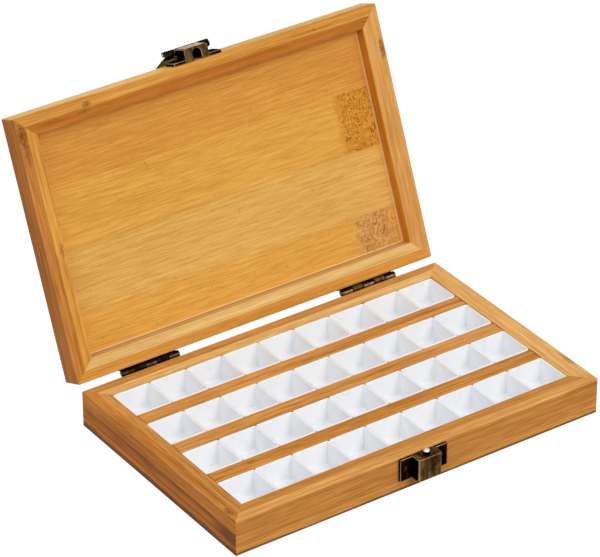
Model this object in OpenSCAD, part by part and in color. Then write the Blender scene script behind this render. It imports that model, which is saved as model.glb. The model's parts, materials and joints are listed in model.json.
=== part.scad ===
// Bamboo watercolour palette box with lift-out pans, shown with its lid open.
// Millimetres. X runs along the box, Y towards the hinges, Z up.
// The origin is the middle of the underside, and the latch is on the front, at -Y.

/* [Pans] */
// Length of a pan along its row, at the rim
pan_w = 19.7; // [16:0.1:24]
// Depth of a pan across its row, at the rim
pan_d = 19.7; // [16:0.1:24]
// Height of a pan
pan_h = 12; // [10:0.5:16]
// Thickness of a pan's walls
pan_wall = 0.8; // [0.6:0.1:1.2]
// Thickness of a pan's floor
pan_floor = 1; // [0.8:0.1:2]
// How far each wall leans in from the rim to the foot
pan_draft = 0.4; // [0.2:0.05:0.8]
// Radius of a pan's upright corners
pan_corner_r = 1.5; // [1.3:0.1:2.5]
// Rounding of the rim's outer edge
pan_rim_r = 0.3; // [0.1:0.05:0.5]
// Fillet between a pan's walls and its floor
pan_fillet = 0.7; // [0.3:0.1:1.5]
// Gap between neighbouring pans in a row
pan_gap = 0.3; // [0.2:0.05:0.8]
// Gap between a pan and the wood before and behind it
pan_play = 0.25; // [0.2:0.05:0.6]

/* [Base] */
// Width of the rails of the base and the lid
rail_w = 10; // [8:0.5:14]
// Thickness of the base's floor board
floor_t = 5.5; // [4:0.5:8]
// Depth of the rebate that takes the floor or lid board
rebate_w = 4; // [2:0.5:4.5]
// How far the pans' rims lie below the rails' tops
rim_drop = 1; // [0.5:0.1:3]
// Thickness of a divider
divider_t = 8.4; // [6:0.2:12]
// How far the dividers' tops lie below the rails' tops
divider_drop = 0.3; // [0.1:0.1:0.8]
// Rounding of the dividers' top edges
divider_r = 1.2; // [0.5:0.1:2]
// Rounding of the box's lower and upper outer edges
edge_r = 1; // [0.6:0.1:2]
// Rounding of the outer edges where lid and base meet
rim_r = 0.5; // [0.3:0.1:1]
// Rounding of the box's upright corners
corner_r = 1.2; // [0.6:0.1:2.4]

/* [Lid] */
// Depth of the hollow inside the lid
lid_recess = 6; // [5:0.5:12]
// Thickness of the lid board
lid_board_t = 6; // [4:0.5:8]
// Angle of the open lid, from shut
open_angle = 112.5; // [95:0.5:120]
// Gap between lid and base when shut
part_gap = 0.3; // [0.2:0.1:0.6]

/* [Hinges] */
// Length of a hinge
hinge_len = 31; // [25:1:40]
// Distance from the end of the box to the middle of a hinge
hinge_inset = 38.5; // [32:0.5:60]
// Height of a leaf, from the hinge axis
leaf_h = 8.4; // [7:0.2:9.6]
// Thickness of a leaf
leaf_t = 0.8; // [0.6:0.1:1.1]
// Radius of the hinge barrel
barrel_r = 1.65; // [1.5:0.05:2.2]
// Gap between the barrel and the backs of lid and base
barrel_gap = 0.2; // [0.2:0.05:0.5]
// Radius of the hinge pin
hinge_pin_r = 0.7; // [0.5:0.1:0.9]
// Running gap between a pin and the knuckles that turn on it
pin_fit = 0.05; // [0.02:0.01:0.1]
// Gap between neighbouring knuckles
knuckle_gap = 0.3; // [0.2:0.05:0.5]
// Radius of a leaf's corners
leaf_corner_r = 1; // [0.4:0.1:2]
// Distance between the two screws of a leaf
leaf_screw_pitch = 20; // [14:0.5:22]

/* [Latch] */
// Width of the raised box of keeper and case
latch_w = 13; // [10:0.5:16]
// How far the raised box stands out from the wood
latch_out = 6.6; // [6:0.1:8]
// Width of each screw flange
flange_w = 6.5; // [5:0.25:9]
// Thickness of the screw flanges
flange_t = 1.6; // [1:0.1:2]
// Thickness of the latch's sheet metal
sheet_t = 0.8; // [0.5:0.05:1]
// Outer bend radius of the sheet metal
bend_r = 1.4; // [1.1:0.1:1.8]
// Height of the keeper on the base
keeper_h = 11.5; // [9:0.5:12]
// How far the keeper's top lies below the base's top
keeper_drop = 0.8; // [0.5:0.1:1.5]
// Height of the case on the lid, without its ears
case_h = 8.4; // [6:0.2:9]
// How far the case's underside lies above the lid's rim
case_rise = 0.6; // [0.4:0.1:1.2]
// Radius of the stud's head
stud_r = 1.9; // [1.4:0.1:2]
// Radius of the stud's neck
stud_neck_r = 1.1; // [0.7:0.1:1.1]
// Height of the neck between the keeper and the head
stud_neck_h = 0.6; // [0.4:0.1:1.2]
// Distance from the wood to the middle of the stud
stud_out = 3.2; // [2.8:0.1:3.4]
// Gap between the stud's head and the arched opening
stud_gap = 0.5; // [0.3:0.05:0.6]
// Width of the lever
lever_w = 25; // [21:0.5:30]
// Outer radius of the lever's rolled edge
lever_roll_r = 1.2; // [1.1:0.05:1.4]
// Radius of the lever's pin
lever_pin_r = 0.5; // [0.35:0.05:0.6]
// Gap between the shut lever and the boxes that it covers
lever_gap = 0.3; // [0.3:0.05:0.8]
// Length of the lip that hooks under the keeper
lever_lip = 1.6; // [0.8:0.1:3]
// Radius of the lever's lower corners
lever_corner_r = 3; // [1:0.25:5]
// Angle of the open lever, from shut
lever_angle = 208; // [160:1:215]

/* [Screws] */
// Radius of a screw's head
screw_head_r = 1.6; // [1.2:0.1:2]
// Height of a screw's head
screw_head_h = 0.8; // [0.5:0.1:1.2]
// Radius of a screw's shank
screw_r = 0.8; // [0.6:0.05:1]
// Length of a screw under its head
screw_len = 5.5; // [4:0.25:6]
// Gap between a screw and its hole
screw_fit = 0.05; // [0.02:0.01:0.15]

/* [Hidden] */
$fn = 48;
pan_rows = 4;
pan_cols = 9;
knuckles = 5;
corner_steps = 3;
// Reach of a cutting shape past the face that it cuts
cut = 1;

// Inside of the box, set by the pans and the dividers
pitch_x = pan_w + pan_gap;
row_d = pan_d + 2 * pan_play;
pitch_y = row_d + divider_t;
inner_w = pan_cols * pitch_x;
inner_d = pan_rows * row_d + (pan_rows - 1) * divider_t;
box_w = inner_w + 2 * rail_w;
box_d = inner_d + 2 * rail_w;
base_h = floor_t + pan_h + rim_drop;
lid_h = lid_recess + lid_board_t;
lid_z = base_h + part_gap;
divider_h = base_h - divider_drop - floor_t;

// Hinge axis and knuckles
axis_out = barrel_r + barrel_gap;
axis_y = box_d / 2 + axis_out;
axis_z = base_h + part_gap / 2;
hinge_xs = [-box_w / 2 + hinge_inset, box_w / 2 - hinge_inset];
knuckle_len = (hinge_len - (knuckles - 1) * knuckle_gap) / knuckles;
knuckle_pitch = knuckle_len + knuckle_gap;
leaf_notch = barrel_r + knuckle_gap;
leaf_screw_z = (leaf_h + leaf_notch) / 2;

// Latch: z from the underside, out from the front faces
plate_w = latch_w + 2 * flange_w;
keeper_z = base_h - keeper_drop - keeper_h;
case_z = lid_z + case_rise;
flange_x = latch_w / 2 + flange_w / 2;
slot_r = stud_r + stud_gap;
pivot_out = latch_out - lever_roll_r;
pivot_z = case_z + case_h + lever_gap + lever_roll_r;
ear_gap = lever_gap;
lever_len = pivot_z - keeper_z + lever_gap;
// From the lever's pin out to the back of its plate, and the circle that its shoulder sweeps
lever_out = lever_roll_r + lever_gap;
lever_turn_r = norm([lever_out + sheet_t, lever_roll_r]);
// Height of the tab that closes the case's far end below the lever
tab_out = pivot_out - lever_turn_r - lever_gap;

// Names of the pieces
function pan_name(r, c) = str("pan_r", r, "_c", c);

// Placing: everything on the lid is drawn shut and then swung open
module swing_lid() {
    translate([0, axis_y, axis_z])
        rotate([-open_angle, 0, 0])
            translate([0, -axis_y, -axis_z])
                children();
}

module swing_lever() {
    translate([0, -box_d / 2 - pivot_out, pivot_z])
        rotate([-lever_angle, 0, 0])
            children();
}

// Turns drawings made with +Y pointing out of the wood onto the front of the box
module on_front() {
    translate([0, -box_d / 2, 0])
        mirror([0, 1, 0])
            children();
}

module at_hinges() {
    for (x = hinge_xs)
        translate([x, axis_y, axis_z])
            children();
}

// Flat shapes
module corner_cut(r) {
    difference() {
        square(r);
        translate([r, r])
            circle(r);
    }
}

module rounded_rect(w, d, r) {
    difference() {
        square([w, d], center = true);
        for (mx = [0, 1])
            for (my = [0, 1])
                mirror([mx, 0])
                    mirror([0, my])
                        translate([-w / 2, -d / 2])
                            corner_cut(r);
    }
}

// A channel's outline from above, with its two outer corners bent to a radius
module channel(w, d, r) {
    difference() {
        translate([-w / 2, 0])
            square([w, d]);
        for (mx = [0, 1])
            mirror([mx, 0])
                translate([w / 2, d])
                    rotate(180)
                        corner_cut(r);
    }
}

// Section of a base rail: X from the outer face inwards, Y up
module base_section() {
    difference() {
        square([rail_w, base_h]);
        corner_cut(edge_r);
        translate([0, base_h])
            mirror([0, 1])
                corner_cut(rim_r);
        translate([rail_w - rebate_w, -cut])
            square([rebate_w + cut, floor_t + cut]);
    }
}

// Section of a lid rail, drawn from its rim up
module lid_section() {
    difference() {
        square([rail_w, lid_h]);
        corner_cut(rim_r);
        translate([0, lid_h])
            mirror([0, 1])
                corner_cut(edge_r);
        translate([rail_w - rebate_w, lid_recess])
            square([rebate_w + cut, lid_board_t + cut]);
    }
}

// One mitred rail along X with its outer face at Y = 0; the child is its section
module mitred_rail(len, h) {
    intersection() {
        rotate([90, 0, 90])
            linear_extrude(height = len, center = true)
                children();
        linear_extrude(height = h)
            polygon([[-len / 2, 0], [len / 2, 0],
                [len / 2 - rail_w, rail_w], [-len / 2 + rail_w, rail_w]]);
    }
}

// Rounds the outer upright corners that a rail shares with its neighbours
module inside_plan(h) {
    intersection() {
        children();
        linear_extrude(height = h)
            rounded_rect(box_w, box_d, corner_r);
    }
}

module long_rail(h) {
    inside_plan(h)
        translate([0, -box_d / 2, 0])
            mitred_rail(box_w, h)
                children();
}

module side_rail(h) {
    inside_plan(h)
        translate([-box_w / 2, 0, 0])
            rotate([0, 0, -90])
                mitred_rail(box_d, h)
                    children();
}

// Fasteners: a screw drawn with its head's underside at Z = 0, pointing down
module screw() {
    rotate_extrude()
        union() {
            translate([0, -screw_len])
                square([screw_r, screw_len]);
            intersection() {
                square([screw_head_r, screw_head_h]);
                translate([0, screw_head_h - screw_cap_r])
                    circle(screw_cap_r);
            }
        }
}
// Radius of the sphere that a screw's domed head is cut from
screw_cap_r = (screw_head_r * screw_head_r + screw_head_h * screw_head_h) / (2 * screw_head_h);

module screw_hole() {
    translate([0, 0, -screw_len - cut])
        cylinder(r = screw_r + screw_fit, h = screw_len + 2 * cut);
}

// Places children at the screws of the two leaves; up is 1 on the lid and -1 on the base
module at_leaf_screws(up) {
    at_hinges()
        for (s = [-1, 1])
            translate([s * leaf_screw_pitch / 2, leaf_t - axis_out, up * leaf_screw_z])
                rotate([-90, 0, 0])
                    children();
}

// Places children at the two flange screws of a latch plate at height z
module at_flange_screws(z) {
    on_front()
        for (s = [-1, 1])
            translate([s * flange_x, flange_t, z])
                rotate([-90, 0, 0])
                    children();
}
keeper_screw_z = keeper_z + keeper_h / 2;
case_screw_z = case_z + case_h / 2;

// Base
module base_front_rail() {
    color("peru")
        difference() {
            long_rail(base_h)
                base_section();
            at_flange_screws(keeper_screw_z)
                screw_hole();
        }
}

module base_back_rail() {
    color("peru")
        difference() {
            mirror([0, 1, 0])
                long_rail(base_h)
                    base_section();
            at_leaf_screws(-1)
                screw_hole();
        }
}

module base_left_rail() {
    color("sienna")
        side_rail(base_h)
            base_section();
}

module base_right_rail() {
    color("sienna")
        mirror([1, 0, 0])
            side_rail(base_h)
                base_section();
}

module base_floor() {
    color("tan")
        linear_extrude(height = floor_t)
            square([inner_w + 2 * rebate_w, inner_d + 2 * rebate_w], center = true);
}

// A divider behind row r, counted from the back
module divider(r) {
    translate([0, inner_d / 2 - r * row_d - (r - 0.5) * divider_t, floor_t])
        rotate([90, 0, 90])
            linear_extrude(height = inner_w, center = true)
                difference() {
                    translate([-divider_t / 2, 0])
                        square([divider_t, divider_h]);
                    for (m = [0, 1])
                        mirror([m, 0])
                            translate([divider_t / 2, divider_h])
                                rotate(180)
                                    corner_cut(divider_r);
                }
}

module divider_back() {
    color("burlywood")
        divider(1);
}

module divider_middle() {
    color("burlywood")
        divider(2);
}

module divider_front() {
    color("burlywood")
        divider(3);
}

// Pans: rings of points joined into one tapered, rounded cup
function pan_ring(inset, z) =
    let (r = max(pan_corner_r - inset, pan_rim_r), x = pan_w / 2 - inset - r, y = pan_d / 2 - inset - r)
    [for (q = [0:3]) for (k = [0:corner_steps])
        let (a = 90 * (q + k / corner_steps), sx = (q == 0 || q == 3) ? 1 : -1, sy = q < 2 ? 1 : -1)
        [sx * x + r * cos(a), sy * y + r * sin(a), z]];

function lean(z) = pan_draft * (1 - z / pan_h);

module loft(rings) {
    n = len(rings[0]);
    m = len(rings);
    faces = concat(
        [[for (k = [0:n - 1]) k]],
        [for (j = [0:m - 2]) for (k = [0:n - 1])
            [(j + 1) * n + k, (j + 1) * n + (k + 1) % n, j * n + (k + 1) % n, j * n + k]],
        [[for (k = [n - 1:-1:0]) (m - 1) * n + k]]);
    polyhedron([for (ring = rings) for (p = ring) p], faces);
}

module pan() {
    foot_z = pan_floor + pan_fillet;
    side_z = pan_h - pan_rim_r;
    loft([
        pan_ring(lean(0), 0),
        pan_ring(lean(side_z), side_z),
        pan_ring(pan_rim_r, pan_h),
        pan_ring(pan_wall, pan_h),
        pan_ring(pan_wall + lean(foot_z), foot_z),
        pan_ring(pan_wall + lean(pan_floor) + pan_fillet, pan_floor)]);
}

module pan_at(r, c) {
    color("white")
        translate([(c - (pan_cols + 1) / 2) * pitch_x, inner_d / 2 - row_d / 2 - (r - 1) * pitch_y, floor_t])
            pan();
}

// Lid
module lid_front_rail() {
    color("peru")
        swing_lid()
            difference() {
                translate([0, 0, lid_z])
                    long_rail(lid_h)
                        lid_section();
                at_flange_screws(case_screw_z)
                    screw_hole();
            }
}

module lid_back_rail() {
    color("peru")
        swing_lid()
            difference() {
                translate([0, 0, lid_z])
                    mirror([0, 1, 0])
                        long_rail(lid_h)
                            lid_section();
                at_leaf_screws(1)
                    screw_hole();
            }
}

module lid_left_rail() {
    color("sienna")
        swing_lid()
            translate([0, 0, lid_z])
                side_rail(lid_h)
                    lid_section();
}

module lid_right_rail() {
    color("sienna")
        swing_lid()
            translate([0, 0, lid_z])
                mirror([1, 0, 0])
                    side_rail(lid_h)
                        lid_section();
}

module lid_board() {
    color("goldenrod")
        swing_lid()
            translate([0, 0, lid_z + lid_recess])
                linear_extrude(height = lid_board_t)
                    square([inner_w + 2 * rebate_w, inner_d + 2 * rebate_w], center = true);
}

// Hinges: drawn about the hinge axis; up is 1 on the lid and -1 on the base
function has_knuckle(k, up) = (k % 2 == 1) == (up == 1);

module knuckle_at(k) {
    translate([-hinge_len / 2 + k * knuckle_pitch, 0, 0])
        rotate([0, 90, 0])
            children();
}

module leaf(up) {
    bore = hinge_pin_r + pin_fit;
    difference() {
        union() {
            translate([0, leaf_t - axis_out, 0])
                rotate([90, 0, 0])
                    linear_extrude(height = leaf_t)
                        difference() {
                            translate([-hinge_len / 2, up > 0 ? 0 : -leaf_h])
                                square([hinge_len, leaf_h]);
                            for (mx = [0, 1])
                                mirror([mx, 0])
                                    translate([hinge_len / 2, up * leaf_h])
                                        rotate(up > 0 ? 180 : 90)
                                            corner_cut(leaf_corner_r);
                        }
            for (k = [0:knuckles - 1])
                if (has_knuckle(k, up))
                    knuckle_at(k)
                        cylinder(r = barrel_r, h = knuckle_len);
        }
        for (k = [0:knuckles - 1])
            if (!has_knuckle(k, up))
                translate([-hinge_len / 2 + k * knuckle_pitch - knuckle_gap,
                    -axis_out - cut, up > 0 ? -cut : -leaf_notch])
                    cube([knuckle_len + 2 * knuckle_gap, leaf_t + 2 * cut, leaf_notch + cut]);
        translate([-hinge_len / 2 - cut, 0, 0])
            rotate([0, 90, 0])
                cylinder(r = bore, h = hinge_len + 2 * cut);
        for (s = [-1, 1])
            translate([s * leaf_screw_pitch / 2, leaf_t - axis_out, up * leaf_screw_z])
                rotate([-90, 0, 0])
                    screw_hole();
    }
}

module hinge_base_leaves() {
    color("darkgoldenrod")
        at_hinges()
            leaf(-1);
}

module hinge_lid_leaves() {
    color("saddlebrown")
        swing_lid()
            at_hinges()
                leaf(1);
}

module hinge_pins() {
    color("dimgray")
        at_hinges()
            translate([-hinge_len / 2, 0, 0])
                rotate([0, 90, 0])
                    cylinder(r = hinge_pin_r, h = hinge_len);
}

// Latch
// Screw flanges and raised box in one bent sheet of height h, hollow behind, before its end is closed
module hat_sheet(h) {
    union() {
        linear_extrude(height = h)
            difference() {
                union() {
                    translate([-plate_w / 2, 0])
                        square([plate_w, flange_t]);
                    channel(latch_w, latch_out, bend_r);
                }
                translate([0, -cut])
                    channel(latch_w - 2 * sheet_t, latch_out - sheet_t + cut, bend_r - sheet_t);
            }
    }
}

// The sheet that closes one end of the raised box
module end_sheet() {
    linear_extrude(height = sheet_t)
        channel(latch_w, latch_out, bend_r);
}

module flange_holes(z) {
    for (s = [-1, 1])
        translate([s * flange_x, flange_t, z])
            rotate([-90, 0, 0])
                screw_hole();
}

module latch_keeper() {
    color("darkolivegreen")
        on_front()
            difference() {
                union() {
                    translate([0, 0, keeper_z])
                        hat_sheet(keeper_h);
                    translate([0, 0, keeper_z + keeper_h - sheet_t])
                        end_sheet();
                }
                flange_holes(keeper_screw_z);
                translate([0, stud_out, keeper_z])
                    cylinder(r = stud_neck_r + screw_fit, h = keeper_h + cut);
            }
}

// A domed stud riveted through the keeper's top
module latch_stud() {
    color("silver")
        on_front()
            translate([0, stud_out, keeper_z + keeper_h])
                rotate_extrude()
                    union() {
                        translate([0, -2 * sheet_t])
                            square([stud_neck_r, 2 * sheet_t + stud_neck_h]);
                        translate([0, -2 * sheet_t])
                            square([stud_r, sheet_t]);
                        intersection() {
                            translate([0, stud_neck_h])
                                circle(stud_r);
                            translate([0, stud_neck_h])
                                square(stud_r);
                        }
                    }
}

module latch_case() {
    color("darkolivegreen")
        swing_lid()
            on_front()
                difference() {
                    union() {
                        translate([0, 0, case_z])
                            hat_sheet(case_h);
                        translate([0, 0, case_z])
                            end_sheet();
                        translate([-latch_w / 2, 0, case_z + case_h - sheet_t])
                            cube([latch_w, tab_out, sheet_t]);
                        for (mx = [0, 1])
                            mirror([mx, 0, 0])
                                ear();
                    }
                    flange_holes(case_screw_z);
                    translate([0, 0, case_z - cut])
                        linear_extrude(height = sheet_t + 2 * cut)
                            arch();
                    translate([-plate_w / 2, pivot_out, pivot_z])
                        rotate([0, 90, 0])
                            cylinder(r = lever_pin_r + pin_fit, h = plate_w);
                }
}

// The opening that the stud enters as the lid shuts
module arch() {
    union() {
        translate([-slot_r, -cut])
            square([2 * slot_r, stud_out + cut]);
        translate([0, stud_out])
            circle(slot_r);
    }
}

// One side wall of the case, carried up to hold the lever's pin
module ear() {
    translate([latch_w / 2 - sheet_t, 0, 0])
        rotate([90, 0, 90])
            linear_extrude(height = sheet_t)
                union() {
                    translate([pivot_out, pivot_z])
                        circle(lever_roll_r);
                    translate([pivot_out - 2 * lever_roll_r, case_screw_z])
                        square([latch_out - bend_r - pivot_out + 2 * lever_roll_r, pivot_z - case_screw_z]);
                }
}

// The lever's section about its pivot: X out of the wood, Y up, drawn shut.
// The sheet leaves its rolled edge at the top, turns outwards over the case and runs down
module lever_section() {
    difference() {
        union() {
            circle(lever_roll_r);
            translate([0, lever_roll_r - sheet_t])
                square([lever_out + sheet_t, sheet_t]);
            translate([lever_out, -lever_len - sheet_t])
                square([sheet_t, lever_len + sheet_t + lever_roll_r]);
            translate([lever_out - lever_lip, -lever_len - sheet_t])
                square([lever_lip + sheet_t, sheet_t]);
        }
        translate([lever_out + sheet_t, -lever_len - sheet_t])
            rotate(90)
                corner_cut(sheet_t);
        translate([lever_out + sheet_t, lever_roll_r])
            rotate(180)
                corner_cut(sheet_t);
    }
}

// The lever's front, with its two lower corners rounded
module lever_front() {
    h = lever_len + sheet_t + lever_roll_r;
    difference() {
        translate([-lever_w / 2, -lever_len - sheet_t])
            square([lever_w, h]);
        for (mx = [0, 1])
            mirror([mx, 0])
                translate([-lever_w / 2, -lever_len - sheet_t])
                    corner_cut(lever_corner_r);
    }
}

module latch_lever() {
    reach = lever_out + sheet_t + lever_lip + cut;
    color("olive")
        swing_lid()
            swing_lever()
                mirror([0, 1, 0])
                    difference() {
                        intersection() {
                            rotate([90, 0, 90])
                                linear_extrude(height = lever_w, center = true)
                                    lever_section();
                            rotate([90, 0, 0])
                                linear_extrude(height = 2 * reach, center = true)
                                    lever_front();
                        }
                        translate([-lever_w / 2 - cut, 0, 0])
                            rotate([0, 90, 0])
                                cylinder(r = lever_pin_r + pin_fit, h = lever_w + 2 * cut);
                        for (mx = [0, 1])
                            mirror([mx, 0, 0])
                                translate([latch_w / 2 - sheet_t - ear_gap, 0, 0])
                                    rotate([0, 90, 0])
                                        cylinder(r = lever_turn_r + ear_gap, h = sheet_t + 2 * ear_gap);
                    }
}

module latch_pin() {
    color("dimgray")
        swing_lid()
            on_front()
                translate([-lever_w / 2, pivot_out, pivot_z])
                    rotate([0, 90, 0])
                        cylinder(r = lever_pin_r, h = lever_w);
}

// Screws
module base_screws() {
    color("gray") {
        at_leaf_screws(-1)
            screw();
        at_flange_screws(keeper_screw_z)
            screw();
    }
}

module lid_screws() {
    color("gray")
        swing_lid() {
            at_leaf_screws(1)
                screw();
            at_flange_screws(case_screw_z)
                screw();
        }
}

base_front_rail();
base_back_rail();
base_left_rail();
base_right_rail();
base_floor();
divider_back();
divider_middle();
divider_front();
lid_front_rail();
lid_back_rail();
lid_left_rail();
lid_right_rail();
lid_board();
hinge_base_leaves();
hinge_lid_leaves();
hinge_pins();
latch_keeper();
latch_stud();
latch_case();
latch_lever();
latch_pin();
base_screws();
lid_screws();
for (r = [1:pan_rows])
    for (c = [1:pan_cols])
        pan_at(r, c);
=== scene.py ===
"""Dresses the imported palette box: laminated bamboo, moulded cups and antique bronze fittings.

Sizes are written in millimetres and turned to metres by MM. The lid and the lever are drawn shut,
as in the part's source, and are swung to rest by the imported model's own joints.
"""

import json
import logging
import math
from dataclasses import dataclass, field
from enum import Enum, IntEnum

import bmesh
import bpy
import numpy as np
from mathutils import Matrix, Vector


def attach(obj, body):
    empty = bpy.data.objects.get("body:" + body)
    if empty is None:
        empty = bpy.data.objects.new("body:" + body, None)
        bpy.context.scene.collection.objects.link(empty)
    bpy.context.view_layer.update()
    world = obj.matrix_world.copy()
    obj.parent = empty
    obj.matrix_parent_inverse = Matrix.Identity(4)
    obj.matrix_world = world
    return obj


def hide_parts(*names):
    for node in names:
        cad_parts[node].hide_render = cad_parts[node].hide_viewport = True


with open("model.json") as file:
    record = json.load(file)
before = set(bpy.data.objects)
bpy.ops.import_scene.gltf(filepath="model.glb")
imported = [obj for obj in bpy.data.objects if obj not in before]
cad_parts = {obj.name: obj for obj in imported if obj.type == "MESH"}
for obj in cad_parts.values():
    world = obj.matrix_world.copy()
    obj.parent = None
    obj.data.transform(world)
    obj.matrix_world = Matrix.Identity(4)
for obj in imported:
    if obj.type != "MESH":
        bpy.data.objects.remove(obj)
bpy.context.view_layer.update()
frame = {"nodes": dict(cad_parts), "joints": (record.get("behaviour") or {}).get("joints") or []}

MM = 0.001
IMAGE_WIDTH = 600
HALF_DEPTH = 63.0
POLE_RADIUS = 1e-3
MERGE_DISTANCE = 1e-7
EASED_FROM_DEG = 40.0
LOG = logging.getLogger("palette_box")

Tree = bpy.types.NodeTree
Socket = bpy.types.NodeSocket
Axes = bpy.types.bpy_prop_collection
Tint = tuple[float, float, float]
PlyAndLightTints = tuple[tuple[float, Tint], ...]


class Slot(Enum):
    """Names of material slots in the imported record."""

    CUPS = "white_plastic"
    BRONZE = "antique_bronze"
    SCREWS = "bronze_screws"
    STEEL = "steel"


class Film(IntEnum):
    """Finish of the bronze film on a face, as the number of its material on the piece: plain, black film that also
    paints shade, a rim finish that is partly rubbed and partly painted highlight, and a paler film as a painted
    highlight.
    """

    PLAIN = 0
    BLACK = 1
    RUBBED_AND_HIGHLIGHTED = 2
    PAINTED_HIGHLIGHT = 3


class Side(Enum):
    """A side of the box, with the turn about Z that lays its grain along local X."""

    FRONT = 0.0
    BACK = 180.0
    LEFT = 90.0
    RIGHT = -90.0


def linear(code: str) -> tuple[float, float, float, float]:
    """Turns an sRGB hex colour into linear light.

    Args:
        code: Colour as "#RRGGBB".

    Returns:
        Linear red, green, blue and an alpha of one.
    """
    srgb = np.array([int(code[i:i + 2], 16) for i in (1, 3, 5)]) / 255.0
    light = np.where(srgb <= 0.04045, srgb / 12.92, ((srgb + 0.055) / 1.055) ** 2.4)
    return (*(float(v) for v in light), 1.0)


def set_inputs(tree: Tree, node: bpy.types.Node, inputs: dict) -> None:
    """Sets or links the inputs of a node.

    Args:
        tree: Node tree that holds the node.
        node: Node to set.
        inputs: Input name or number to a value, or to a socket that is linked.
    """
    for key, value in inputs.items():
        if isinstance(value, Socket):
            tree.links.new(value, node.inputs[key])
        else:
            node.inputs[key].default_value = value


def add_node(tree: Tree, kind: str, inputs: dict | None = None, **settings: object) -> bpy.types.Node:
    """Adds one node with its settings and links.

    Args:
        tree: Node tree that gets the node.
        kind: Blender's name of the node type.
        inputs: Input name or number to a value, or to a socket that is linked.
        **settings: Properties of the node.

    Returns:
        The new node.
    """
    node = tree.nodes.new(kind)
    for key, value in settings.items():
        setattr(node, key, value)
    set_inputs(tree, node, inputs or {})
    return node


def set_ramp(node: bpy.types.Node, stops: list[tuple[float, tuple[float, ...]]]) -> Socket:
    """Fills a colour ramp.

    Args:
        node: Colour ramp node.
        stops: Position and linear colour of each stop, in order.

    Returns:
        The ramp's colour output.
    """
    ramp = node.color_ramp
    while len(ramp.elements) < len(stops):
        ramp.elements.new(1.0)
    for element, (position, colour) in zip(ramp.elements, stops):
        element.position = position
        element.color = colour
    return node.outputs["Color"]


def grey(level: float) -> tuple[float, float, float, float]:
    """A linear grey for the ramps that make masks."""
    return (level, level, level, 1.0)


def shaded(code: str, factors: Tint) -> tuple[float, ...]:
    """A hex colour in linear light, multiplied channel by channel."""
    return (*(min(v * f, 1.0) for v, f in zip(linear(code), factors)), 1.0)


def new_material(name: str) -> tuple[bpy.types.Material, Tree, bpy.types.Node]:
    """Starts a node material.

    Args:
        name: Name of the real material.

    Returns:
        The material, its node tree and its shader node.
    """
    material = bpy.data.materials.new(name)
    material.use_nodes = True
    tree = material.node_tree
    return material, tree, tree.nodes["Principled BSDF"]


@dataclass(frozen=True)
class Turn:
    """A turn about an axis along X, in metres and radians."""

    y: float
    z: float
    angle: float

    @classmethod
    def from_joint(cls, name: str) -> "Turn":
        """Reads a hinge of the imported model.

        Args:
            name: Name of the joint, whose low limit is shut.

        Returns:
            The turn from shut to rest.
        """
        joint = next(j for j in frame["joints"] if j["name"] == name)
        _, y, z = joint["pos_m"]
        return cls(y, z, -joint["axis"][0] * math.radians(joint["range_deg"][0]))

    def matrix(self, unit: float = 1.0) -> Matrix:
        """The turn from shut to rest as a 4 by 4 matrix, with unit the units in a metre."""
        pivot = Matrix.Translation((0.0, self.y * unit, self.z * unit))
        return pivot @ Matrix.Rotation(self.angle, 4, "X") @ pivot.inverted()


LID_TURN = Turn.from_joint("lid_hinge")
LEVER_TURN = Turn.from_joint("latch_lever_hinge")
LID_SWING = LID_TURN.matrix(1.0 / MM)
LEVER_SWING = LEVER_TURN.matrix(1.0 / MM) @ LID_SWING


def moved(points: np.ndarray, matrix: Matrix) -> np.ndarray:
    """Applies a 4 by 4 matrix to an array of points.

    Args:
        points: Array whose last axis holds x, y and z.
        matrix: Matrix to apply.

    Returns:
        Array of the same shape.
    """
    m = np.array(matrix)
    return points @ m[:3, :3].T + m[:3, 3]


@dataclass
class Shell:
    """Vertices and faces of one closed surface."""

    points: np.ndarray
    faces: list[tuple[int, ...]]
    finish: int = 0

    def placed(self, matrix: Matrix) -> "Shell":
        """The same surface, moved by a matrix in millimetres."""
        return Shell(moved(self.points, matrix), self.faces, self.finish)

    def finished(self, number: int) -> "Shell":
        """The same surface with another of the piece's materials."""
        return Shell(self.points, self.faces, number)


def grid_quads(rows: int, cols: int, wrap: bool = False) -> np.ndarray:
    """Quads between the points of a grid that is stored row by row.

    Args:
        rows: Number of rows.
        cols: Number of columns.
        wrap: True where the last column joins the first.

    Returns:
        Array of four point numbers per quad.
    """
    i, j = np.meshgrid(np.arange(rows - 1), np.arange(cols if wrap else cols - 1), indexing="ij")
    k = (j + 1) % cols
    return np.stack([i * cols + j, i * cols + k, (i + 1) * cols + k, (i + 1) * cols + j], -1).reshape(-1, 4)


def lofted(rings: np.ndarray) -> Shell:
    """Joins closed rings of equal count into a solid with flat ends.

    Args:
        rings: Array of rings, points and coordinates.

    Returns:
        Closed surface.
    """
    count, around = rings.shape[:2]
    faces = [tuple(q) for q in grid_quads(count, around, True).tolist()]
    faces.append(tuple(range(around)))
    faces.append(tuple(range((count - 1) * around, count * around)))
    return Shell(rings.reshape(-1, 3), faces)


def turned(profile: np.ndarray, around: int = 40) -> np.ndarray:
    """Carries a profile of radius and height round the Z axis.

    Args:
        profile: Array of radius and height.
        around: Points in a circle.

    Returns:
        Rings for lofted: x = r cos a, y = r sin a, z = h.
    """
    angle = np.linspace(0.0, 2.0 * np.pi, around, endpoint=False)
    radius, height = profile[:, :1], profile[:, 1:]
    return np.stack([radius * np.cos(angle), radius * np.sin(angle), height + 0.0 * angle], -1)


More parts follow.
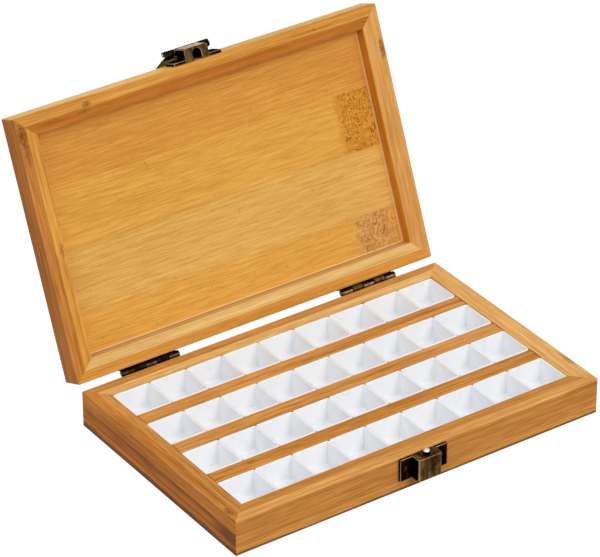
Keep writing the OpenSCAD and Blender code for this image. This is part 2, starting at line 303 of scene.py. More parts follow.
def folded(near: np.ndarray, far: np.ndarray) -> Shell:
    """Closes a bent sheet between its two skins.

    Both skins are grids of the same size: one row per place along the sheet, one point per place across its bend.

    Args:
        near: Points of the first skin, as rows, points and coordinates.
        far: Points of the second skin.

    Returns:
        Closed surface.
    """
    loops = np.concatenate([near, far[:, ::-1]], 1)
    rows, around = loops.shape[:2]
    i = np.arange(around // 2 - 1)
    cap = np.stack([i, i + 1, around - 2 - i, around - 1 - i], -1)
    faces = np.concatenate([grid_quads(rows, around, True), cap, cap[:, ::-1] + (rows - 1) * around])
    return Shell(loops.reshape(-1, 3), [tuple(q) for q in faces.tolist()])


def carried(line: np.ndarray, levels: np.ndarray) -> np.ndarray:
    """Carries a flat line straight along a third axis.

    Args:
        line: Points with two coordinates.
        levels: One number per row, or one row of numbers with one for each point.

    Returns:
        Grid of points: the line's two coordinates and the level.
    """
    levels = np.asarray(levels, float)
    heights = np.repeat(levels[:, None], len(line), 1) if levels.ndim == 1 else levels
    flat = np.repeat(line[None], len(heights), 0)
    return np.concatenate([flat, heights[..., None]], -1)


def rounded_line(corners: list[tuple[float, float]], radii: list[float], steps: int = 5) -> np.ndarray:
    """Rounds the inner corners of a flat polyline with arcs.

    Args:
        corners: Points of the polyline, with its two ends.
        radii: Arc radius at each inner corner.
        steps: Segments in an arc.

    Returns:
        Points along the rounded line.
    """
    points = np.array(corners, float)
    out = [points[:1]]
    for before, corner, after, radius in zip(points[:-2], points[1:-1], points[2:], radii):
        a = (before - corner) / np.linalg.norm(before - corner)
        b = (after - corner) / np.linalg.norm(after - corner)
        half = 0.5 * math.acos(float(np.clip(a @ b, -1.0, 1.0)))
        middle = (a + b) / np.linalg.norm(a + b)
        centre = corner + middle * radius / math.sin(half)
        start = corner + a * radius / math.tan(half) - centre
        end = corner + b * radius / math.tan(half) - centre
        share = np.linspace(0.0, 1.0, steps + 1)[:, None]
        sweep = math.pi - 2.0 * half
        bow = (np.sin((1.0 - share) * sweep) * start + np.sin(share * sweep) * end) / math.sin(sweep)
        out.append(centre + bow)
    out.append(points[-1:])
    return np.concatenate(out)


def two_skins(line: np.ndarray, thickness: float) -> tuple[np.ndarray, np.ndarray]:
    """Offsets a bent centre line to both sides.

    Each point moves along the bisector of its two segments, lengthened so that the sheet keeps its thickness.

    Args:
        line: Points of the centre line.
        thickness: Thickness of the sheet.

    Returns:
        The left skin and the right skin.
    """
    step = np.diff(line, axis=0)
    step /= np.linalg.norm(step, axis=1)[:, None]
    along = np.concatenate([step[:1], step[:-1] + step[1:], step[-1:]])
    length = np.linalg.norm(along, axis=1)[:, None]
    along /= length
    stretch = np.concatenate([[[1.0]], 2.0 / length[1:-1], [[1.0]]])
    side = np.stack([-along[:, 1], along[:, 0]], -1) * stretch * thickness / 2.0
    return line + side, line - side


def arc(centre: tuple[float, float], radius: float, start_deg: float, end_deg: float, count: int) -> np.ndarray:
    """Points of a flat arc: centre + radius (cos a, sin a)."""
    angle = np.radians(np.linspace(start_deg, end_deg, count))
    return np.array(centre) + radius * np.stack([np.cos(angle), np.sin(angle)], -1)


def make_piece(name: str, shells: list[Shell], materials: list[bpy.types.Material],
               sharp_deg: float = 35.0) -> bpy.types.Object:
    """Turns shells in millimetres into one object at the origin.

    Args:
        name: Name of the piece.
        shells: Closed surfaces.
        materials: Materials of the piece, in the order of the shells' finish numbers.
        sharp_deg: Edges that turn by more than this stay sharp.

    Returns:
        The new object.
    """
    points, faces, finishes, start = [], [], [], 0
    for shell in shells:
        points.append(shell.points)
        faces += [tuple(start + k for k in face) for face in shell.faces]
        finishes += [shell.finish] * len(shell.faces)
        start += len(shell.points)
    mesh = bpy.data.meshes.new(name)
    mesh.from_pydata((np.concatenate(points) * MM).tolist(), [], faces)
    mesh.polygons.foreach_set("material_index", finishes)
    work = bmesh.new()
    work.from_mesh(mesh)
    bmesh.ops.remove_doubles(work, verts=work.verts, dist=MERGE_DISTANCE)
    bmesh.ops.recalc_face_normals(work, faces=work.faces)
    work.to_mesh(mesh)
    work.free()
    mesh.polygons.foreach_set("use_smooth", np.ones(len(mesh.polygons), bool))
    mesh.set_sharp_from_angle(angle=math.radians(sharp_deg))
    for material in materials:
        mesh.materials.append(material)
    piece = bpy.data.objects.new(name, mesh)
    bpy.context.scene.collection.objects.link(piece)
    LOG.info("made %s with %d faces", name, len(mesh.polygons))
    return piece


def ease_edges(piece: bpy.types.Object, width: float, material: int = -1, segments: int = 2) -> None:
    """Breaks the sharp edges of a piece with a small live bevel.

    Args:
        piece: Piece to ease.
        width: Width of the bevel in millimetres.
        material: Number of the material on the eased edges, or -1 for their neighbours'.
        segments: Segments across the bevel.
    """
    bevel = piece.modifiers.new("eased_edges", "BEVEL")
    bevel.width = width * MM
    bevel.segments = segments
    bevel.limit_method = "ANGLE"
    bevel.angle_limit = math.radians(EASED_FROM_DEG)
    bevel.material = material
    bevel.use_clamp_overlap = False
    bevel.harden_normals = True


def face_arrays(piece: bpy.types.Object) -> tuple[np.ndarray, np.ndarray, np.ndarray]:
    """Reads a piece's faces.

    Args:
        piece: Piece to read.

    Returns:
        The faces' normals, centres and material numbers.
    """
    polygons = piece.data.polygons
    normal, centre = np.empty(3 * len(polygons)), np.empty(3 * len(polygons))
    finish = np.empty(len(polygons), int)
    polygons.foreach_get("normal", normal)
    polygons.foreach_get("center", centre)
    polygons.foreach_get("material_index", finish)
    return normal.reshape(-1, 3), centre.reshape(-1, 3), finish


def set_on(piece: bpy.types.Object, body: str, node: str) -> None:
    """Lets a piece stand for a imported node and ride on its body."""
    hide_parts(node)
    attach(piece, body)


def dress_node(node: str, material: bpy.types.Material) -> None:
    """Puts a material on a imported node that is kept.

    Args:
        node: Name of the node.
        material: Its finish.
    """
    for slot in frame["nodes"][node].material_slots:
        slot.material = material
    LOG.info("dressed %s as %s", node, material.name)


class Tone(Enum):
    """Tones of bamboo strips, from pale to steamed brown."""

    CREAM = "#ECBC70"
    STRAW = "#E4AE60"
    WHEAT = "#E3AC55"
    HONEY = "#DC9F52"
    GOLD = "#E1A345"
    OCHRE = "#DA983F"
    TAN = "#CF9148"
    AMBER = "#C9893B"
    CINNAMON = "#C37E35"
    UMBER = "#BD7326"


@dataclass(frozen=True)
class Knot:
    """A branch knot or node scar: place along and across the grain and its half sizes, in millimetres.

    A half height of 0 carries it through the whole piece, and a soft one is a stain without rings.
    """

    along: float
    across: float
    half_length: float
    half_width: float
    strength: float = 0.85
    height: float = 0.0
    half_height: float = 0.0
    soft: bool = False


@dataclass(frozen=True)
class Figure:
    """The rippled figure where a flat strip crosses a culm node, in millimetres."""

    along: float
    across: float
    half_length: float
    half_width: float
    ground: str
    ground_share: float


@dataclass(frozen=True)
class Bamboo:
    """Laminated bamboo, planed and lacquered: long fibres, strips of unlike tone, a satin sheen."""

    name: str
    strips: tuple[tuple[float, Tone], ...]
    width: float
    start: float = 0.0
    fibre: float = 1.0
    streak: float = 1.0
    seed: float = 0.0
    glue: float = 0.72
    glue_half: float = 0.2
    waver: float = 1.2
    knots: tuple[Knot, ...] = ()
    figures: tuple[Figure, ...] = ()
    # Half sizes of the board whose seams get a painted highlight and painted shade.
    painted_seam_half: tuple[float, float] | None = None
    shown_below: float = 1000.0
    ply_and_light_tints: PlyAndLightTints = ()
    dark: Tint = (0.62, 0.49, 0.25)
    light: Tint = (1.28, 1.37, 1.72)
    knot_brown: str = "#68390F"
    figure_lines: str = "#A05600"
    tone_range: tuple[float, float] = (0.25, 0.75)

    def material(self, grain: Matrix) -> bpy.types.Material:
        """Builds the node material.

        Args:
            grain: Matrix from object coordinates to metres along, across and through the grain.

        Returns:
            The material.
        """
        material, tree, shader = new_material(self.name)
        place = add_node(tree, "ShaderNodeTexCoord").outputs["Object"]
        local = add_node(tree, "ShaderNodeMapping", {
            "Vector": place, "Location": grain.to_translation(), "Rotation": grain.to_euler()}).outputs["Vector"]
        axes = add_node(tree, "ShaderNodeSeparateXYZ", {0: local}).outputs
        tone, relief = self._fibres(tree, local)
        colour = self._strips(tree, axes[1], tone)
        if self.ply_and_light_tints:
            colour = self._ply_and_light_tints(tree, axes[2], tone, colour)
        shown = add_node(tree, "ShaderNodeMath", {0: axes[2], 1: self.shown_below * MM},
                         operation="LESS_THAN").outputs[0]
        for figure in self.figures:
            colour = self._figure(tree, local, axes, figure, shown, colour)
        for knot in self.knots:
            colour = self._knot(tree, local, knot, colour)
        if self.painted_seam_half:
            colour = self._painted_seam_light(tree, axes, shown, colour)
        low, high = self.tone_range
        rough = add_node(tree, "ShaderNodeMapRange", {
            "Value": tone, "From Min": low, "From Max": high, "To Min": 0.52, "To Max": 0.38}).outputs[0]
        bump = add_node(tree, "ShaderNodeBump", {"Height": relief, "Strength": 0.25, "Distance": 0.12 * MM})
        set_inputs(tree, shader, {
            "Base Color": colour, "Roughness": rough, "Normal": bump.outputs["Normal"], "IOR": 1.5,
            "Specular IOR Level": 0.08, "Coat Weight": 0.02, "Coat Roughness": 0.2})
        return material

    def _fibres(self, tree: Tree, local: Socket
                ) -> tuple[Socket, Socket]:
        """Sums three stretched noises: fibre bundles, streaks and broad clouds.

        Bundles are 0.4 mm wide in real bamboo; here they are drawn half as coarse again to show in the render.

        Args:
            tree: Node tree of the material.
            local: Grain coordinates.

        Returns:
            The tone, about 0.5 on average, and the bundles alone for the relief.
        """
        total = None
        bundle = None
        layers = ((0.6, 12.0, 0.42 * self.fibre), (1.7, 70.0, 0.38 * self.streak), (14.0, 70.0, 0.24 * self.streak))
        for number, (across, along, share) in enumerate(layers):
            shifted = add_node(tree, "ShaderNodeVectorMath", {0: local, 1: (self.seed, self.seed * 0.37 + number, 0.0)},
                               operation="ADD").outputs[0]
            scaled = add_node(tree, "ShaderNodeVectorMath", {
                0: shifted, 1: (1.0 / (along * MM), 1.0 / (across * MM), 1.0 / (across * MM))},
                operation="MULTIPLY").outputs[0]
            noise = add_node(tree, "ShaderNodeTexNoise", {
                "Vector": scaled, "Scale": 1.0, "Detail": 3.0, "Roughness": 0.55, "Distortion": 0.25}).outputs[0]
            bundle = bundle or noise
            centred = add_node(tree, "ShaderNodeMath", {0: noise, 1: 0.5}, operation="SUBTRACT").outputs[0]
            total = add_node(tree, "ShaderNodeMath", {0: centred, 1: 2.0 * share, 2: total if total else 0.5},
                             operation="MULTIPLY_ADD").outputs[0]
        return total, bundle

    def _strips(self, tree: Tree, across: Socket, tone: Socket
                ) -> Socket:
        """Colours each glued strip between its dark and its light fibres, with a dark glue line between two strips.

        Args:
            tree: Node tree of the material.
            across: Place across the grain.
            tone: Share of light fibres.

        Returns:
            The colour of the wood.
        """
        share = add_node(tree, "ShaderNodeMath", {0: across, 1: 1.0 / (self.width * MM), 2: -self.start / self.width},
                         operation="MULTIPLY_ADD").outputs[0]
        line = self.glue_half / self.width
        both = []
        for factors in (self.dark, self.light):
            seam = tuple(f * self.glue for f in factors)
            stops = [(0.0, shaded(self.strips[0][1].value, factors))]
            for (_, before), (start, after) in zip(self.strips, self.strips[1:]):
                edge = start / self.width
                stops += [(edge - line, shaded(before.value, factors)), (edge, shaded(before.value, seam)),
                          (edge + line, shaded(after.value, factors))]
            stops.append((1.0, shaded(self.strips[-1][1].value, factors)))
            both.append(set_ramp(add_node(tree, "ShaderNodeValToRGB", {"Fac": share}), stops))
        low, high = self.tone_range
        amount = add_node(tree, "ShaderNodeMapRange", {"Value": tone, "From Min": low, "From Max": high}).outputs[0]
        return add_node(tree, "ShaderNodeMix", {"Factor": amount, 6: both[0], 7: both[1]}, data_type="RGBA").outputs[2]

    def _ply_and_light_tints(self, tree: Tree, height: Socket, tone: Socket,
               colour: Socket) -> Socket:
        """Multiplies the wood by a tint for each height: partly the edges of the glued plies on the side faces, partly
        painted shade and painted highlight on faces by how light falls on them.

        Args:
            tree: Node tree of the material.
            height: Place through the rail.
            tone: Share of light fibres, which makes the edges of the plies waver.
            colour: Colour so far.

        Returns:
            The tinted colour.
        """
        low, high = self.ply_and_light_tints[0][0], self.ply_and_light_tints[-1][0]
        mean = self.waver / 2.0
        wavering = add_node(tree, "ShaderNodeMath", {0: tone, 1: self.waver * MM, 2: height},
                            operation="MULTIPLY_ADD").outputs[0]
        share = add_node(tree, "ShaderNodeMapRange", {
            "Value": wavering, "From Min": (low + mean) * MM, "From Max": (high + mean) * MM}).outputs[0]
        stops = [((z - low) / (high - low), (*tint, 1.0)) for z, tint in self.ply_and_light_tints]
        tint = set_ramp(add_node(tree, "ShaderNodeValToRGB", {"Fac": share}), stops)
        return add_node(tree, "ShaderNodeMix", {"Factor": 1.0, 6: colour, 7: tint}, data_type="RGBA",
                        blend_type="MULTIPLY").outputs[2]

    @staticmethod
    def _warped(tree: Tree, local: Socket, reach: float, swirl: float) -> Socket:
        """Grain coordinates pushed about by a soft noise, so that what is drawn on them curls.

        Args:
            tree: Node tree of the material.
            local: Grain coordinates.
            reach: Size of the curls in millimetres.
            swirl: How far a point is pushed, in millimetres.

        Returns:
            The pushed coordinates.
        """
        noise = add_node(tree, "ShaderNodeTexNoise", {
            "Vector": local, "Scale": 1.0 / (reach * MM), "Detail": 1.0}).outputs["Color"]
        centred = add_node(tree, "ShaderNodeVectorMath", {0: noise, 1: (0.5, 0.5, 0.5)},
                           operation="SUBTRACT").outputs[0]
        push = 2.0 * swirl * MM
        return add_node(tree, "ShaderNodeVectorMath", {0: centred, 1: (push, push, push), 2: local},
                        operation="MULTIPLY_ADD").outputs[0]

    def _knot(self, tree: Tree, local: Socket, knot: Knot, colour: Socket) -> Socket:
        """Draws a dark ragged scar whose fibres curl round it.

        Args:
            tree: Node tree of the material.
            local: Grain coordinates.
            knot: The knot.
            colour: Colour so far.

        Returns:
            The colour with the knot.
        """
        bent = add_node(tree, "ShaderNodeSeparateXYZ", {0: self._warped(tree, local, 1.6, 1.1)}).outputs
        squares = None
        sizes = [(0, knot.along, knot.half_length), (1, knot.across, knot.half_width)]
        if knot.half_height:
            sizes.append((2, knot.height, knot.half_height))
        for axis, centre, half in sizes:
            offset = add_node(tree, "ShaderNodeMath", {0: bent[axis], 1: centre * MM}, operation="SUBTRACT").outputs[0]
            scaled = add_node(tree, "ShaderNodeMath", {0: offset, 1: 1.0 / (half * MM)},
                              operation="MULTIPLY").outputs[0]
            squares = add_node(tree, "ShaderNodeMath", {0: scaled, 1: scaled, 2: squares if squares else 0.0},
                               operation="MULTIPLY_ADD").outputs[0]
        distance = add_node(tree, "ShaderNodeMath", {0: squares}, operation="SQRT").outputs[0]
        rings = [(0.18, 1.0), (0.42, 0.45), (0.6, 0.85), (0.78, 0.22), (0.88, 0.4), (1.0, 0.0)]
        stain = [(0.3, 1.0), (0.6, 0.6), (1.0, 0.0)]
        mask = set_ramp(add_node(tree, "ShaderNodeValToRGB", {"Fac": distance}),
                        [(share, grey(level)) for share, level in (stain if knot.soft else rings)])
        weight = add_node(tree, "ShaderNodeMath", {0: mask, 1: knot.strength}, operation="MULTIPLY").outputs[0]
        return add_node(tree, "ShaderNodeMix", {"Factor": weight, 6: colour, 7: linear(self.knot_brown)},
                        data_type="RGBA").outputs[2]

    def _figure(self, tree: Tree, local: Socket, axes: Axes, figure: Figure, shown: Socket, colour: Socket) -> Socket:
        """Draws the short curled fibre ends that show at a culm node.

        They are contour lines of a soft noise, about 1.2 mm apart, broken up by a finer noise, and are drawn as
        coarse as they need to be to show in the render.

        Args:
            tree: Node tree of the material.
            local: Grain coordinates.
            axes: Places along, across and through the grain.
            figure: The figure.
            shown: One on the face that has the figure.
            colour: Colour so far.

        Returns:
            The colour with the figure.
        """
        mask = shown
        bent = add_node(tree, "ShaderNodeSeparateXYZ", {0: self._warped(tree, local, 5.0, 4.5)}).outputs
        for place, centre, half, full_from in ((bent[0], figure.along, figure.half_length, 0.45),
                                               (axes[1], figure.across, figure.half_width, 0.93)):
            offset = add_node(tree, "ShaderNodeMath", {0: place, 1: centre * MM}, operation="SUBTRACT").outputs[0]
            away = add_node(tree, "ShaderNodeMath", {0: offset}, operation="ABSOLUTE").outputs[0]
            inside = add_node(tree, "ShaderNodeMapRange", {
                "Value": away, "From Min": half * MM, "From Max": full_from * half * MM},
                interpolation_type="SMOOTHSTEP").outputs[0]
            mask = add_node(tree, "ShaderNodeMath", {0: inside, 1: mask}, operation="MULTIPLY").outputs[0]
        scaled = add_node(tree, "ShaderNodeVectorMath", {0: local, 1: (1.0 / (6.6 * MM), 1.0 / (8.6 * MM), 0.0)},
                          operation="MULTIPLY").outputs[0]
        hills = add_node(tree, "ShaderNodeTexNoise", {
            "Vector": scaled, "Scale": 1.0, "Detail": 1.6, "Roughness": 0.42, "Distortion": 0.8}).outputs[0]
        steps = add_node(tree, "ShaderNodeMath", {0: hills, 1: 17.0}, operation="MULTIPLY").outputs[0]
        rest = add_node(tree, "ShaderNodeMath", {0: steps}, operation="FRACT").outputs[0]
        away = add_node(tree, "ShaderNodeMath", {0: rest, 1: 0.5}, operation="SUBTRACT").outputs[0]
        gap = add_node(tree, "ShaderNodeMath", {0: away}, operation="ABSOLUTE").outputs[0]
        crowd = add_node(tree, "ShaderNodeTexNoise", {
            "Vector": local, "Scale": 1.0 / (1.7 * MM), "Detail": 1.0}).outputs[0]
        full = add_node(tree, "ShaderNodeMapRange", {
            "Value": crowd, "From Min": 0.28, "From Max": 0.56, "To Max": 0.36}).outputs[0]
        size = add_node(tree, "ShaderNodeMath", {0: mask, 1: full}, operation="MULTIPLY").outputs[0]
        inner = add_node(tree, "ShaderNodeMath", {0: size, 1: gap}, operation="SUBTRACT").outputs[0]
        ends = add_node(tree, "ShaderNodeMapRange", {
            "Value": inner, "From Min": -0.06, "From Max": 0.22, "To Max": 0.8}).outputs[0]
        share = add_node(tree, "ShaderNodeMath", {0: mask, 1: figure.ground_share}, operation="MULTIPLY").outputs[0]
        for amount, tint in ((share, figure.ground), (ends, self.figure_lines)):
            colour = add_node(tree, "ShaderNodeMix", {"Factor": amount, 6: colour, 7: linear(tint)},
                              data_type="RGBA").outputs[2]
        return colour

    def _painted_seam_light(self, tree: Tree, axes: Axes, shown: Socket,
                colour: Socket) -> Socket:
        """Paints a pale highlight on the board along its right and hinge sides, and painted shade in the seams along
        its left and hinge sides.

        Args:
            tree: Node tree of the material.
            axes: Places along, across and through the grain.
            shown: One on the face that has the marks.
            colour: Colour so far.

        Returns:
            The colour with the painted highlight and the painted shade along the seams.
        """
        half_x, half_y = self.painted_seam_half or (0.0, 0.0)
        left, right, hinge = (0, -1.0, half_x), (0, 1.0, half_x), (1, 1.0, half_y)
        # The pale tint is a painted highlight; the dark brown tint is painted shade in the seams.
        for sides, start, end, share, tint in (((right, hinge), 1.5, 0.5, 0.6, "#FFDCA2"),
                                               ((left, hinge), 0.6, 0.2, 0.7, "#7A4A1E")):
            mask = None
            for axis, sign, half in sides:
                away = add_node(tree, "ShaderNodeMath", {0: axes[axis], 1: sign}, operation="MULTIPLY").outputs[0]
                edge = add_node(tree, "ShaderNodeMapRange", {
                    "Value": away, "From Min": (half - start) * MM, "From Max": (half - end) * MM},
                    interpolation_type="SMOOTHSTEP").outputs[0]
                mask = add_node(tree, "ShaderNodeMath", {0: mask if mask else 0.0, 1: edge},
                                operation="MAXIMUM").outputs[0]
            there = add_node(tree, "ShaderNodeMath", {0: mask, 1: shown}, operation="MULTIPLY").outputs[0]
            weight = add_node(tree, "ShaderNodeMath", {0: there, 1: share}, operation="MULTIPLY").outputs[0]
            colour = add_node(tree, "ShaderNodeMix", {"Factor": weight, 6: colour, 7: linear(tint)},
                              data_type="RGBA").outputs[2]
        return colour


@dataclass(frozen=True)
class CupPlastic:
    """Injection moulded white polystyrene: even, glossy, faintly blue and a little translucent."""

    name: str = "moulded_white_polystyrene"
    colour: str = "#F7F9FC"
    shade: str = "#F3F6FA"

    def material(self) -> bpy.types.Material:
        """Builds the node material.

        Returns:
            The material.
        """
        material, tree, shader = new_material(self.name)
        place = add_node(tree, "ShaderNodeTexCoord").outputs["Object"]
        flow = add_node(tree, "ShaderNodeTexNoise", {
            "Vector": place, "Scale": 1.0 / (14.0 * MM), "Detail": 2.0}).outputs[0]
        colour = set_ramp(add_node(tree, "ShaderNodeValToRGB", {"Fac": flow}),
                          [(0.35, linear(self.shade)), (0.65, linear(self.colour))])
        ripple = add_node(tree, "ShaderNodeTexNoise", {
            "Vector": place, "Scale": 1.0 / (2.5 * MM), "Detail": 1.0}).outputs[0]
        bump = add_node(tree, "ShaderNodeBump", {"Height": ripple, "Strength": 0.08, "Distance": 0.05 * MM})
        rough = add_node(tree, "ShaderNodeMapRange", {"Value": flow, "To Min": 0.24, "To Max": 0.34}).outputs[0]
        set_inputs(tree, shader, {
            "Base Color": colour, "Roughness": rough, "Normal": bump.outputs["Normal"], "IOR": 1.59,
            "Subsurface Weight": 0.1, "Subsurface Radius": (0.9 * MM, 0.95 * MM, 1.0 * MM), "Subsurface Scale": 1.0})
        return material


@dataclass(frozen=True)
class AntiqueBronze:
    """Steel plated and browned as antique bronze: a dark streaked film, taken down to the metal on rims by use."""

    name: str
    dark: str
    middle: str
    bright: str
    blotch: float = 2.2
    streak: float = 3.0
    rough_low: float = 0.3
    rough_high: float = 0.48
    edge: str = "#FFFFFF"

    def material(self) -> bpy.types.Material:
        """Builds the node material, with blotches stretched along the sheet's height.

        Returns:
            The material.
        """
        material, tree, shader = new_material(self.name)
        place = add_node(tree, "ShaderNodeTexCoord").outputs["Object"]
        size = 1.0 / (self.blotch * MM)
        scaled = add_node(tree, "ShaderNodeVectorMath", {0: place, 1: (size, size / self.streak, size / self.streak)},
                          operation="MULTIPLY").outputs[0]
        film = add_node(tree, "ShaderNodeTexNoise", {
            "Vector": scaled, "Scale": 1.0, "Detail": 4.0, "Roughness": 0.65, "Distortion": 0.5}).outputs[0]
        colour = set_ramp(add_node(tree, "ShaderNodeValToRGB", {"Fac": film}), [
            (0.34, linear(self.dark)), (0.5, linear(self.middle)), (0.68, linear(self.bright))])
        grit = add_node(tree, "ShaderNodeTexNoise", {
            "Vector": place, "Scale": 1.0 / (0.35 * MM), "Detail": 2.0}).outputs[0]
        bump = add_node(tree, "ShaderNodeBump", {"Height": grit, "Strength": 0.22, "Distance": 0.04 * MM})
        rough = add_node(tree, "ShaderNodeMapRange", {
            "Value": film, "From Min": 0.3, "From Max": 0.7, "To Min": self.rough_high,
            "To Max": self.rough_low}).outputs[0]
        set_inputs(tree, shader, {
            "Base Color": colour, "Roughness": rough, "Normal": bump.outputs["Normal"], "Metallic": 1.0,
            "Specular Tint": linear(self.edge)})
        return material


@dataclass(frozen=True)
class PolishedSteel:
    """Nickel-bright steel, tumbled smooth, with fine handling marks."""

    name: str = "polished_steel"
    colour: str = "#DCD5D0"
    marks: str = "#B9B0AA"

    def material(self) -> bpy.types.Material:
        """Builds the node material.

        Returns:
            The material.
        """
        material, tree, shader = new_material(self.name)
        place = add_node(tree, "ShaderNodeTexCoord").outputs["Object"]
        marks = add_node(tree, "ShaderNodeTexNoise", {
            "Vector": place, "Scale": 1.0 / (0.4 * MM), "Detail": 3.0}).outputs[0]
        colour = set_ramp(add_node(tree, "ShaderNodeValToRGB", {"Fac": marks}),
                          [(0.3, linear(self.marks)), (0.6, linear(self.colour))])
        rough = add_node(tree, "ShaderNodeMapRange", {"Value": marks, "To Min": 0.1, "To Max": 0.3}).outputs[0]
        set_inputs(tree, shader, {"Base Color": colour, "Roughness": rough, "Metallic": 1.0})
        return material


def grain_matrix(turn_deg: float, shift: tuple[float, float, float], on_lid: bool) -> Matrix:
    """Matrix from object coordinates to the grain's own axes.

    Args:
        turn_deg: Turn about Z that lays the grain along X.
        shift: Shift after the turn, in millimetres.
        on_lid: True for pieces of the lid, which are first swung shut.

    Returns:
        The matrix, in metres.
    """
    turn = Matrix.Translation(Vector(shift) * MM) @ Matrix.Rotation(math.radians(turn_deg), 4, "Z")
    return turn @ LID_TURN.matrix().inverted() if on_lid else turn


@dataclass(frozen=True)
class RailLook:
    """Look of one rail: its side, the tones of its outer and inner strip, its tints by height from plies and painted
    light, strength of its streaks and knots.
    """

    side: Side
    outer: Tone
    inner: Tone
    ply_and_light_tints: PlyAndLightTints
    streak: float
    knots: tuple[Knot, ...] = ()


@dataclass
class WoodWork:
    """The bamboo box: rails, boards and dividers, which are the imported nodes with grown-looking finishes."""

    half_w: float = 100.0
    half_d: float = HALF_DEPTH
    rail_w: float = 10.0
    divider_t: float = 8.4
    divider_pitch: float = 28.6
    divider_end: float = 89.9
    lid_board_half: tuple[float, float] = (90.0, 53.0)
    floor_half: float = 57.0
    finishes: dict[str, tuple[Bamboo, Matrix]] = field(default_factory=dict)

    def rail_grain(self, side: Side, on_lid: bool) -> Matrix:
        """Grain axes of a rail, with the place across counted from its outer face."""
        half = self.half_d if side in (Side.FRONT, Side.BACK) else self.half_w
        return grain_matrix(side.value, (0.0, half, 0.0), on_lid)

    @staticmethod
    def base_ply_and_shade_tints(*sides: tuple[float, Tint]) -> PlyAndLightTints:
        """Tints of a base rail by height, plain on its top and underside, with painted shade along the lower edge of
        its side faces.

        Args:
            *sides: Height and tint of each ply on the side faces.

        Returns:
            All tints from the underside up.
        """
        plain = (1.0, 1.0, 1.0)
        # The dark tints from 0.5 to 1.4 mm paint the shade along the rail's lower edge.
        return ((0.0, plain), (0.45, plain), (0.5, (0.3, 0.22, 0.14)), (1.4, (0.36, 0.27, 0.17)), *sides,
                (17.9, plain), (18.5, plain))

    @staticmethod
    def lid_ply_and_light_tints(near: Tint, far: Tint) -> PlyAndLightTints:
        """Tints of a lid rail by height, partly ply tones and partly painted light, plain on its two broad faces.

        Args:
            near: Tint of the ply that meets the base.
            far: Tint of the ply under the lid's outer face.

        Returns:
            All tints from the base up, with the lid shut.
        """
        plain = (1.0, 1.0, 1.0)
        return ((18.8, plain), (19.2, plain), (19.6, near), (26.0, near), (27.0, far), (30.0, far), (30.4, plain),
                (30.8, plain))

    def rail_looks(self) -> dict[str, RailLook]:
        """Chooses the look of every rail.

        Returns:
            The looks by node.
        """
        pale, tan, brown = (1.08, 0.98, 0.84), (0.97, 0.84, 0.66), (0.94, 0.8, 0.62)
        front = self.base_ply_and_shade_tints((2.1, pale), (5.4, pale), (5.8, (0.84, 0.7, 0.52)), (6.6, tan), (10.4, tan),
                                (10.9, (0.82, 0.69, 0.52)), (11.6, brown), (17.2, brown))
        # The left rail's lowest two side tints carry on the painted shade at the lower edge; the others mix ply tones
        # with a warm, low-blue painted colour for a side in shade.
        left = self.base_ply_and_shade_tints((2.2, (0.36, 0.27, 0.13)), (3.2, (0.84, 0.67, 0.34)), (4.2, (1.28, 1.07, 0.52)),
                               (5.2, (1.22, 1.02, 0.48)), (6.2, (0.96, 0.78, 0.34)), (8.4, (1.14, 0.95, 0.42)),
                               (10.1, (1.02, 0.85, 0.38)), (10.8, (0.68, 0.54, 0.23)), (11.4, (1.06, 0.88, 0.42)),
                               (12.4, (1.28, 1.09, 0.54)), (17.2, (1.34, 1.17, 0.62)))
        fair, dull = (1.05, 1.0, 0.9), (0.92, 0.85, 0.72)
        hidden = self.base_ply_and_shade_tints((2.1, fair), (8.6, fair), (9.2, dull), (17.2, dull))
        # This pale tint on the lid front rail's outer face is partly a paler strip and partly a painted highlight on a
        # face that looks up at rest.
        bright = (1.31, 1.66, 2.1)
        return {
            "base_front_rail": RailLook(Side.FRONT, Tone.HONEY, Tone.AMBER, front, 0.75),
            "base_back_rail": RailLook(Side.BACK, Tone.TAN, Tone.CREAM, hidden, 0.7),
            "base_left_rail": RailLook(Side.LEFT, Tone.CINNAMON, Tone.TAN, left, 1.0, (
                Knot(54.8, 2.3, 4.2, 1.9, 0.7),
                Knot(58.0, 0.0, 15.0, 2.0, 0.8, height=8.0, half_height=5.0, soft=True))),
            "base_right_rail": RailLook(Side.RIGHT, Tone.STRAW, Tone.STRAW, hidden, 0.7, (
                Knot(-41.0, 1.5, 7.5, 1.4, 0.6),)),
            "lid_front_rail": RailLook(Side.FRONT, Tone.OCHRE, Tone.UMBER, self.lid_ply_and_light_tints(bright, bright), 0.65, (
                Knot(-62.0, 3.6, 3.2, 1.4, 0.7), Knot(-64.0, 6.3, 5.0, 1.0, 0.5), Knot(-80.0, 6.6, 9.0, 0.8, 0.45),
                Knot(64.0, 3.0, 1.2, 0.7, 0.6))),
            # The grey near tint darkens the inner wall on the hinge side as painted shade.
            "lid_back_rail": RailLook(Side.BACK, Tone.OCHRE, Tone.CREAM,
                                      self.lid_ply_and_light_tints((0.82, 0.8, 0.78), (1.0, 0.95, 0.9)), 0.5),
            # The lid's left rail tints paint the warm colour of its side in shade over its ply tones.
            "lid_left_rail": RailLook(Side.LEFT, Tone.CINNAMON, Tone.OCHRE,
                                      self.lid_ply_and_light_tints((1.12, 0.96, 0.45), (0.92, 0.76, 0.33)), 0.85, (
                Knot(54.6, 2.6, 6.5, 2.5, 0.85), Knot(46.0, 3.2, 7.0, 1.5, 0.6), Knot(-1.3, 8.4, 4.5, 1.2, 0.6))),
            # The near tint of the lid's right rail paints the deep orange of its sides in shade.
            "lid_right_rail": RailLook(Side.RIGHT, Tone.HONEY, Tone.HONEY,
                                       self.lid_ply_and_light_tints((0.92, 0.73, 0.18), (1.0, 0.9, 0.7)), 0.65, (
                Knot(-41.1, 1.9, 5.6, 1.7, 0.75),)),
        }

